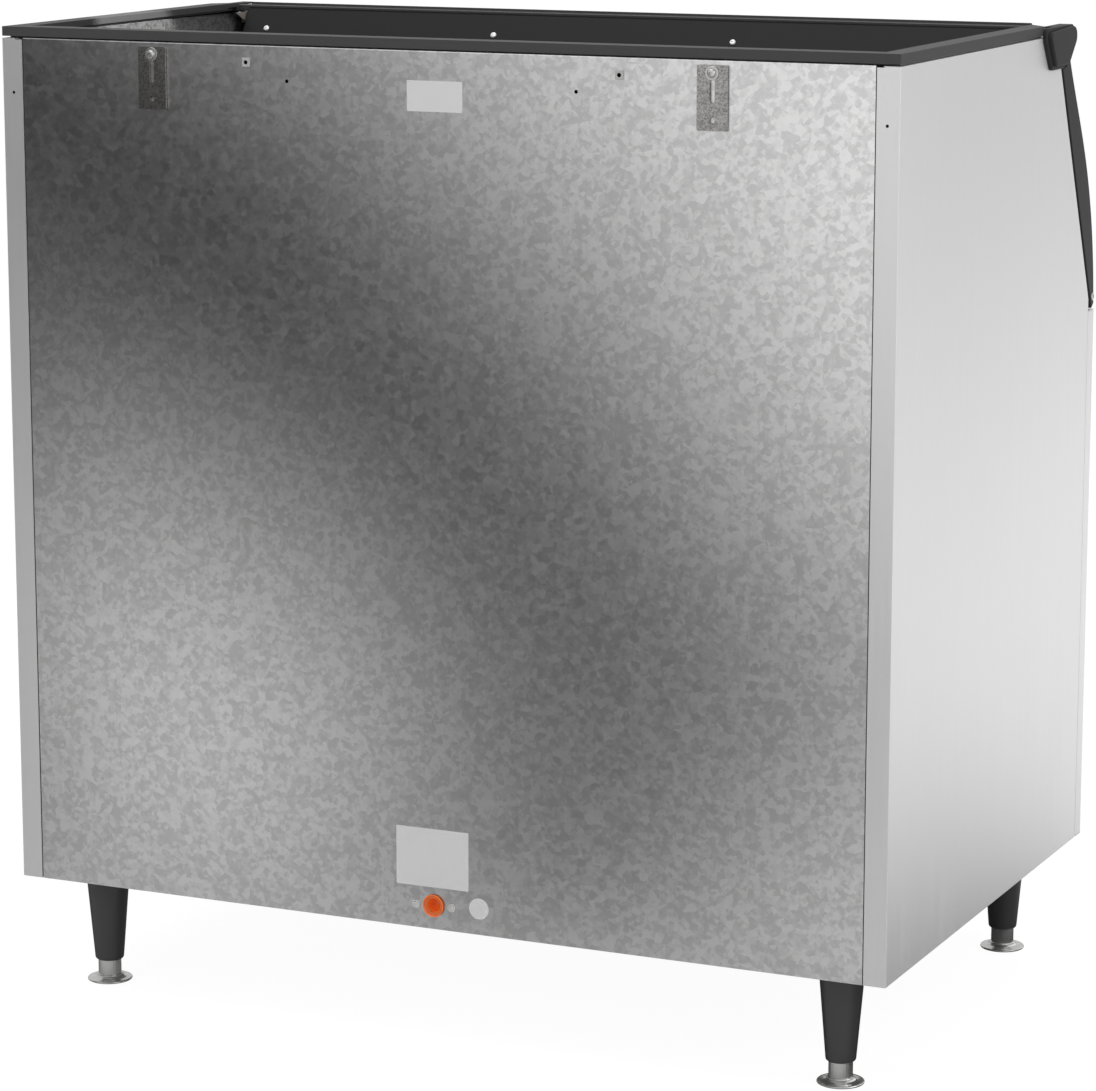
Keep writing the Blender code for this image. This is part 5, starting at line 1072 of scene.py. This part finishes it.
class ICEBIN_OT_back_fittings(bpy.types.Operator):
    """Snap-in nuts, blank labels and the blank round sticker on the back"""
    bl_idname = "icebin.back_fittings"
    bl_label = "Back fittings"

    def execute(self, context):
        sizes = context.scene.ice_bin_sizes
        for side in SIDES:
            node = f"{side}_square_nut"
            place = middle(node)
            nut = merged_copy(node)
            bore(nut, (place.x, REAR + NUT_HOLE_START, place.z), FORWARDS, sizes.nut_hole,
                 NUT_HOLE_DEPTH)
            round_edges(nut, NUT_EDGE)
            smooth(nut, 35)
            dress(nut, "nylon", node)
            hole_shade_disc(f"{side}_nut_hole", place.x, place.z - BASE, sizes.nut_hole,
                        NUT_BOTTOM)
        thick = sizes.label_thickness
        for name, corners in LABELS.items():
            self.plate(name, *corners, thick)
        profile = [(0, 0), (STICKER_RADIUS, 0), (STICKER_RADIUS + STICKER_BULGE, thick / 2),
                   (STICKER_RADIUS, thick), (0, thick)]
        sticker = turned("round_sticker", profile, rear_point(*STICKER_PLACE, BACK_INSET),
                         BACKWARDS, 64)
        smooth(sticker)
        add_detail(sticker, "label", "cabinet")
        return {"FINISHED"}

    def plate(self, name, left, right, foot, top, thick):
        """Blank label with small round corners and softened edges."""
        outline = rounded([(x, height, LABEL_RADIUS) for x, height in
                           ((left, foot), (right, foot), (right, top), (left, top))], 4)
        points = [rear_point(x, height, BACK_INSET) for x, height in outline]
        piece = block(name, points, BACKWARDS * thick)
        round_edges(piece, thick / 3, 1, 60)
        smooth(piece)
        add_detail(piece, "label", "cabinet")


# Drain

DRAIN_HEIGHT = 0.0310
PLUG_PROFILE = [(0, -0.0220), (0.0084, -0.0220), (0.0092, -0.0200), (0.0092, 0.0003),
                (0.0142, 0.0003), (0.0145, 0.0006), (0.0145, 0.0019),
                *arc((0.0139, 0.0024), 0.0006, 0, 90, 4),
                (0.0137, 0.0030), (0.0133, 0.0024), (0.0126, 0.0014), (0.0114, 0.0008),
                (0.0098, 0.0003), (0.0086, -0.0012), (0.0082, -0.0040), (0.0074, -0.0075),
                (0.0059, -0.0105), (0.0037, -0.0128), (0, -0.0138)]
DRAIN_SCREW_X = 0.0250
DRAIN_SCREW_PROFILE = [(0, -0.0120), (0.0020, -0.0120), (0.0020, 0), (0.0056, 0),
                       (0.0057, 0.0005), (0.0052, 0.0009), (0, 0.0009)]
DRAIN_SCREW_HEAD = [(0, 0.0004), (0.0037, 0.0004), (0.0037, 0.0018), (0.0031, 0.0022),
                    (0, 0.0022)]


class ICEBIN_OT_drain(bpy.types.Operator):
    """Drain tube, cupped orange plug and the two screws beside it"""
    bl_idname = "icebin.drain"
    bl_label = "Drain"

    def execute(self, context):
        edged_copies("nylon", 0, "drain_tube")
        plug = turned("drain_plug_finished", PLUG_PROFILE, rear_point(0, DRAIN_HEIGHT),
                      BACKWARDS, 72)
        smooth(plug, 40)
        dress(plug, "orange_plastic", "drain_plug")
        for side, sign in SIDES.items():
            centre = rear_point(sign * DRAIN_SCREW_X, DRAIN_HEIGHT)
            screw = turned(f"{side}_drain_screw_finished", DRAIN_SCREW_PROFILE, centre,
                           BACKWARDS, 40)
            join(screw, turned("head", DRAIN_SCREW_HEAD, centre, BACKWARDS, 6))
            smooth(screw, 25)
            dress(screw, "pale_zinc", f"{side}_drain_screw")
        return {"FINISHED"}


# Legs

STUD_RADIUS = 0.0060
LEG_CHAMFER = (0.0008, 0.0010)
LEG_EDGE = 0.0040
BORE_LIP = (0.0004, 0.0006)
BORE_DEPTH = 0.0600
DISC_EDGE = 0.0016
DISH = [(0.0225, 0.0036), (0.0195, 0.0048), (0.0180, 0.0062)]
DISH_START = 0.0030
BEAD_HEIGHT = 0.0072
BEAD_RADIUS = 0.0014
BEAD_STEP = 0.0006
FLUTE_FOOT = 0.0060
FLUTES = 24


class ICEBIN_OT_legs(bpy.types.Operator):
    """Tapered legs with fluted levelling feet on dished discs"""
    bl_idname = "icebin.legs"
    bl_label = "Legs and feet"

    def execute(self, context):
        sizes = context.scene.ice_bin_sizes
        for corner in CORNERS:
            low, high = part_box(f"{corner}_leg")
            centre = Vector(((low.x + high.x) / 2, (low.y + high.y) / 2, 0))
            self.leg(corner, centre, low.z, high.z, sizes)
            self.foot(corner, centre, sizes)
        return {"FINISHED"}

    def leg(self, corner, centre, foot, top, sizes):
        """Tapered sleeve with a stud on top and a bore for the foot below."""
        shoulder = BASE + sizes.sheet
        taper = (sizes.leg_top - sizes.leg_foot) / (shoulder - foot)
        outer = sizes.leg_foot + taper * LEG_EDGE
        bore_top = foot + BORE_DEPTH
        profile = [(0, top), (STUD_RADIUS, top), (STUD_RADIUS, shoulder),
                   (sizes.leg_top - LEG_CHAMFER[0], shoulder),
                   (sizes.leg_top, shoulder - LEG_CHAMFER[1]),
                   *arc((outer - LEG_EDGE, foot + LEG_EDGE), LEG_EDGE, 0, -78, 8),
                   (sizes.leg_bore + BORE_LIP[0], foot), (sizes.leg_bore, foot + BORE_LIP[1]),
                   (sizes.leg_bore, bore_top), (0, bore_top)]
        leg = turned(f"{corner}_leg_finished", profile, centre, UPWARDS, 96)
        smooth(leg)
        dress(leg, "leg_plastic", f"{corner}_leg")

    def foot(self, corner, centre, sizes):
        """Disc with a rolled rim, dished up to a bead round the fluted stem."""
        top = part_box(f"{corner}_foot")[1].z
        disc = sizes.disc
        stem = sizes.stem
        bead_top = BEAD_HEIGHT + BEAD_RADIUS
        profile = [(0, 0), (disc - DISC_EDGE, 0),
                   *arc((disc - DISC_EDGE, DISC_EDGE), DISC_EDGE, -80, 80, 8),
                   (disc - DISH_START, DISH_START), *DISH,
                   *arc((stem + BEAD_STEP, BEAD_HEIGHT), BEAD_RADIUS, -20, 90, 6),
                   (stem - BEAD_STEP, bead_top), (0, bead_top)]
        foot = turned(f"{corner}_foot_finished", profile, centre, UPWARDS, 96)
        flutes = [(0, FLUTE_FOOT), (stem, FLUTE_FOOT), (stem, top), (0, top)]
        join(foot, turned("stem", flutes, centre, UPWARDS, FLUTES))
        smooth(foot, 12)
        dress(foot, "fluted_zinc", f"{corner}_foot")


# Studio

# Each lamp's place, what it points at and how wide it is
LAMPS = {
    "side_lamp": ((-4.2, 0.4, 2.6), (0, 0, 0.8), 3.2),
    "top_lamp": ((0.4, 0.6, 4.6), (0, 0, 0.6), 3.6),
    "rear_lamp": ((1.6, 4.6, 2.8), (0, 0, 0.6), 3.0),
}
SPOT_PLACE = (-0.6, 1.10, 2.30)
SPOT_TARGET = (0.56, 0.11, 1.246)
SPOT_ANGLE = 6.0
SPOT_BLEND = 0.35
SPOT_RADIUS = 0.01
CAMERA_PLACE = (-2.1758, REAR + 4.4190, BASE + 1.4576)
CAMERA_ANGLES = (78.968, 0.008, 204.52)
CAMERA_LENS = 131.81
CAMERA_SENSOR = 36
CAMERA_REACH = 100
FLOOR_SIZE = 60
FLOOR_COLOUR = (0.92, 0.92, 0.92, 1)
FLOOR_GLOW = 1.06
FLOOR_GLOW_SHARE = 0.90
# How metal shows the floor: painted shade of the bin, from dark to light around a place, over
# two borders
PAINTED_FLOOR_SHADE = (-0.75, 0.05, 0)
PAINTED_FLOOR_SHADE_REACH = 1.4
PAINTED_FLOOR_SHADE_LEVELS = (0.25, 1.22)
BESIDE_BORDER = (-0.64, -0.56)
BESIDE_LEVELS = (1.0, 0.12)
BEHIND_BORDER = (0.29, 0.42)
BEHIND_COLOUR = (0.60, 0.60, 0.60)
# How bright the side card is from its foot up, from its rear forwards and past its dark end
SIDE_CARD_HEIGHTS = (0.35, 1.25)
SIDE_CARD_LEVELS = (1.44, 0.82)
SIDE_CARD_RUN = (-1.30, -0.60)
SIDE_CARD_RUN_LEVELS = (1.0, 0.90)
SIDE_CARD_DARK_REACH = (0.10, 0.46)
SIDE_CARD_DARK_LEVELS = (0.02, 1.0)
SIDE_CARD_SIZE = 3.0
SIDE_CARD_PLACE = (-HALF_WIDTH - 0.35, -1.5, 1.5)
SIDE_CARD_DARK = (-HALF_WIDTH - 0.35, -0.50, -0.10)
REAR_CARD_SIZE = 5.0
REAR_CARD_Y = REAR + 0.55
ACROSS_BAND = (-0.643, 0.0, 0.766)
DOWN_BAND = (-0.766, 0.0, -0.643)
ACROSS_LEVELS = (0.02, 1.12)
ACROSS_REACH = (0.32, 1.18)
DOWN_LEVELS = (-0.02, 0.20)
DOWN_REACH = (-0.75, 0.15)
# Soft lights and shades on the rear card: x, z, radius and brightness
CARD_SPOTS = ((0.70, 0.22, 0.70, 0.88), (0.97, 0.70, 0.46, 0.17), (0.95, 0.08, 0.30, -0.20),
              (0.44, 1.17, 0.40, -0.05), (-0.50, -0.10, 0.60, 0.78))


def metal_rays(tree, path):
    """Factor of one for what metal, gloss and clear pieces show."""
    return calculate(tree, "MAXIMUM", path.outputs["Is Glossy Ray"],
                     path.outputs["Is Transmission Ray"])


def mix_shaders(tree, factor, one, two):
    return add_node(tree, "ShaderNodeMixShader", {0: factor, 1: one, 2: two}).outputs[0]


def ease(tree, value, levels, reach):
    """Turn smoothly from one level to another as a value goes through its reach."""
    return remap(tree, value, *levels, *reach, "SMOOTHSTEP")


def distance_from(tree, where, place):
    return add_node(tree, "ShaderNodeVectorMath", {0: where, 1: place},
                    operation="DISTANCE").outputs["Value"]


def glow(tree, strength):
    """Let a card shine with a strength that may vary over it."""
    light = add_node(tree, "ShaderNodeEmission", {"Strength": strength})
    add_node(tree, "ShaderNodeOutputMaterial", {"Surface": light.outputs[0]})


class ICEBIN_OT_studio(bpy.types.Operator):
    """Pale floor, soft lamps, the cards that metal mirrors, world and camera"""
    bl_idname = "icebin.studio"
    bl_label = "Studio and camera"

    def execute(self, context):
        studio = context.scene.ice_bin_studio
        self.floor()
        self.rear_card(studio)
        self.side_card(studio)
        self.world(context.scene, studio)
        for name, (place, target, size) in LAMPS.items():
            data = bpy.data.lights.new(name, "AREA")
            data.shape = "DISK"
            data.size = size
            data.energy = getattr(studio, name)
            self.hang(name, data, place, target)
        self.patch(studio)
        self.camera(context.scene)
        context.scene.view_settings.view_transform = "Standard"
        return {"FINISHED"}

    def hang(self, name, data, place, target):
        """Put a lamp at a place and point it at a target."""
        lamp = bpy.data.objects.new(name, data)
        lamp.location = place
        aim = Vector(target) - Vector(place)
        lamp.rotation_euler = aim.to_track_quat("-Z", "Y").to_euler()
        bpy.context.scene.collection.objects.link(lamp)

    def patch(self, studio):
        """Narrow lamp that leaves a light patch on the tub's far wall."""
        data = bpy.data.lights.new("liner_spot", "SPOT")
        data.energy = studio.liner_spot
        data.spot_size = math.radians(SPOT_ANGLE)
        data.spot_blend = SPOT_BLEND
        data.shadow_soft_size = SPOT_RADIUS
        self.hang("liner_spot", data, SPOT_PLACE, SPOT_TARGET)

    def camera(self, scene):
        """Long lens behind the cabinet and to its left, as the photograph was taken."""
        data = bpy.data.cameras.new("camera")
        data.sensor_width = CAMERA_SENSOR
        data.lens = CAMERA_LENS
        data.clip_end = CAMERA_REACH
        camera = bpy.data.objects.new("camera", data)
        camera.location = CAMERA_PLACE
        camera.rotation_euler = [math.radians(angle) for angle in CAMERA_ANGLES]
        scene.collection.objects.link(camera)
        scene.camera = camera

    def world(self, scene, studio):
        """White for the camera, a pale backdrop in metal, plain light for the rest."""
        world = bpy.data.worlds.new("studio")
        world.use_nodes = True
        tree = world.node_tree
        tree.nodes.clear()
        path = add_node(tree, "ShaderNodeLightPath")
        plain, mirrored, white = [
            add_node(tree, "ShaderNodeBackground",
                     {"Color": (1, 1, 1, 1), "Strength": strength}).outputs[0]
            for strength in (studio.ambient, studio.mirror, 1.0)]
        seen = mix_shaders(tree, metal_rays(tree, path), plain, mirrored)
        seen = mix_shaders(tree, path.outputs["Is Camera Ray"], seen, white)
        add_node(tree, "ShaderNodeOutputWorld", {"Surface": seen})
        scene.world = world

    def plane(self, name, size):
        deselect()
        bpy.ops.mesh.primitive_plane_add(size=size)
        plane = bpy.context.object
        plane.name = name
        material = bpy.data.materials.new(name)
        material.use_nodes = True
        material.node_tree.nodes.clear()
        plane.data.materials.append(material)
        return plane, material.node_tree

    def floor(self):
        """White to the camera but for a soft shadow; metal shows it with painted shade near the
        bin.
        """
        plane, tree = self.plane("floor", FLOOR_SIZE)
        path = add_node(tree, "ShaderNodeLightPath")
        lit = add_node(tree, "ShaderNodeBsdfDiffuse", {"Color": FLOOR_COLOUR})
        white = add_node(tree, "ShaderNodeEmission", {"Strength": FLOOR_GLOW})
        shown = mix_shaders(tree, FLOOR_GLOW_SHARE, lit.outputs[0], white.outputs[0])
        where = add_node(tree, "ShaderNodeTexCoord").outputs["Object"]
        # painted shade: metal sees the floor darkened beside, under and behind the bin, where
        # its shade would fall
        distance = distance_from(tree, where, PAINTED_FLOOR_SHADE)
        beside = ease(tree, distance, (0.0, PAINTED_FLOOR_SHADE_REACH), PAINTED_FLOOR_SHADE_LEVELS)
        parts = add_node(tree, "ShaderNodeSeparateXYZ", {"Vector": where}).outputs
        beside = calculate(tree, "MULTIPLY", beside,
                           ease(tree, parts["X"], BESIDE_LEVELS, BESIDE_BORDER))
        behind = ease(tree, parts["Y"], (0.0, 1.0), BEHIND_BORDER)
        near = blend(tree, behind, beside, BEHIND_COLOUR)
        mirrored = add_node(tree, "ShaderNodeEmission", {"Strength": near})
        mixed = mix_shaders(tree, metal_rays(tree, path), lit.outputs[0], mirrored.outputs[0])
        mixed = mix_shaders(tree, path.outputs["Is Camera Ray"], mixed, shown)
        add_node(tree, "ShaderNodeOutputMaterial", {"Surface": mixed})

    def upright(self, name, size, axis, place):
        """Upright card that only gloss shows; gives its node tree and coordinates."""
        plane, tree = self.plane(name, size)
        edit(plane, "FACE")
        bpy.ops.mesh.select_all(action="SELECT")
        bpy.ops.transform.rotate(value=math.radians(90), orient_axis=axis,
                                 center_override=(0, 0, 0))
        bpy.ops.transform.translate(value=place)
        leave()
        plane.visible_camera = False
        plane.visible_diffuse = False
        plane.visible_transmission = False
        plane.visible_volume_scatter = False
        plane.visible_shadow = False
        return tree, add_node(tree, "ShaderNodeTexCoord").outputs["Object"]

    def side_card(self, studio):
        """Card beside the bin: brighter towards the floor and front, dark at the rear foot."""
        tree, where = self.upright("side_card", SIDE_CARD_SIZE, "Y", SIDE_CARD_PLACE)
        parts = add_node(tree, "ShaderNodeSeparateXYZ", {"Vector": where}).outputs
        level = ease(tree, parts["Z"], SIDE_CARD_LEVELS, SIDE_CARD_HEIGHTS)
        front = ease(tree, parts["Y"], SIDE_CARD_RUN_LEVELS, SIDE_CARD_RUN)
        corner = ease(tree, distance_from(tree, where, SIDE_CARD_DARK),
                      SIDE_CARD_DARK_LEVELS, SIDE_CARD_DARK_REACH)
        glow(tree, calculate(tree, "MULTIPLY", calculate(tree, "MULTIPLY", level, front),
                             calculate(tree, "MULTIPLY", corner, studio.side_card)))

    def rear_card(self, studio):
        """Card behind the bin: a slanted dark band between soft lights."""
        tree, where = self.upright("rear_card", REAR_CARD_SIZE, "X", (0, REAR_CARD_Y, 0))
        across_band, down_band = [
            add_node(tree, "ShaderNodeVectorMath", {0: where, 1: direction},
                     operation="DOT_PRODUCT").outputs["Value"]
            for direction in (ACROSS_BAND, DOWN_BAND)]
        total = ease(tree, across_band, ACROSS_LEVELS, ACROSS_REACH)
        total = calculate(tree, "ADD", total, ease(tree, down_band, DOWN_LEVELS, DOWN_REACH))
        for x, z, radius, level in CARD_SPOTS:
            offset = distance_from(tree, where, (x, REAR_CARD_Y, z))
            total = calculate(tree, "ADD", total,
                              ease(tree, offset, (level, 0.0), (0.0, radius)))
        glow(tree, calculate(tree, "MULTIPLY", total, studio.rear_card))


class ICEBIN_PT_panel(bpy.types.Panel):
    """Sizes, colours and steps of the ice bin"""
    bl_idname = "ICEBIN_PT_panel"
    bl_label = "Ice bin"
    bl_space_type = "VIEW_3D"
    bl_region_type = "UI"
    bl_category = "Ice bin"

    def draw(self, context):
        for step in STEPS:
            self.layout.operator(step.bl_idname)
        for group in (context.scene.ice_bin_sizes, context.scene.ice_bin_colours,
                      context.scene.ice_bin_studio):
            box = self.layout.box()
            for name in group.__annotations__:
                box.prop(group, name)


STEPS = (ICEBIN_OT_studio, ICEBIN_OT_skins, ICEBIN_OT_insides, ICEBIN_OT_rim,
         ICEBIN_OT_door, ICEBIN_OT_hinges, ICEBIN_OT_baffle, ICEBIN_OT_brackets,
         ICEBIN_OT_back_fittings, ICEBIN_OT_drain, ICEBIN_OT_legs)
GROUPS = {"ice_bin_sizes": IceBinSizes, "ice_bin_colours": IceBinColours,
          "ice_bin_studio": IceBinStudio}


def register():
    for name, group in GROUPS.items():
        bpy.utils.register_class(group)
        setattr(bpy.types.Scene, name, PointerProperty(type=group))
    for item in (*STEPS, ICEBIN_PT_panel):
        bpy.utils.register_class(item)


def unregister():
    for item in reversed((*STEPS, ICEBIN_PT_panel)):
        bpy.utils.unregister_class(item)
    for name, group in GROUPS.items():
        delattr(bpy.types.Scene, name)
        bpy.utils.unregister_class(group)


def main():
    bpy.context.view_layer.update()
    register()
    for step in STEPS:
        group, name = step.bl_idname.split(".")
        getattr(getattr(bpy.ops, group), name)()


if __name__ == "__main__":
    main()
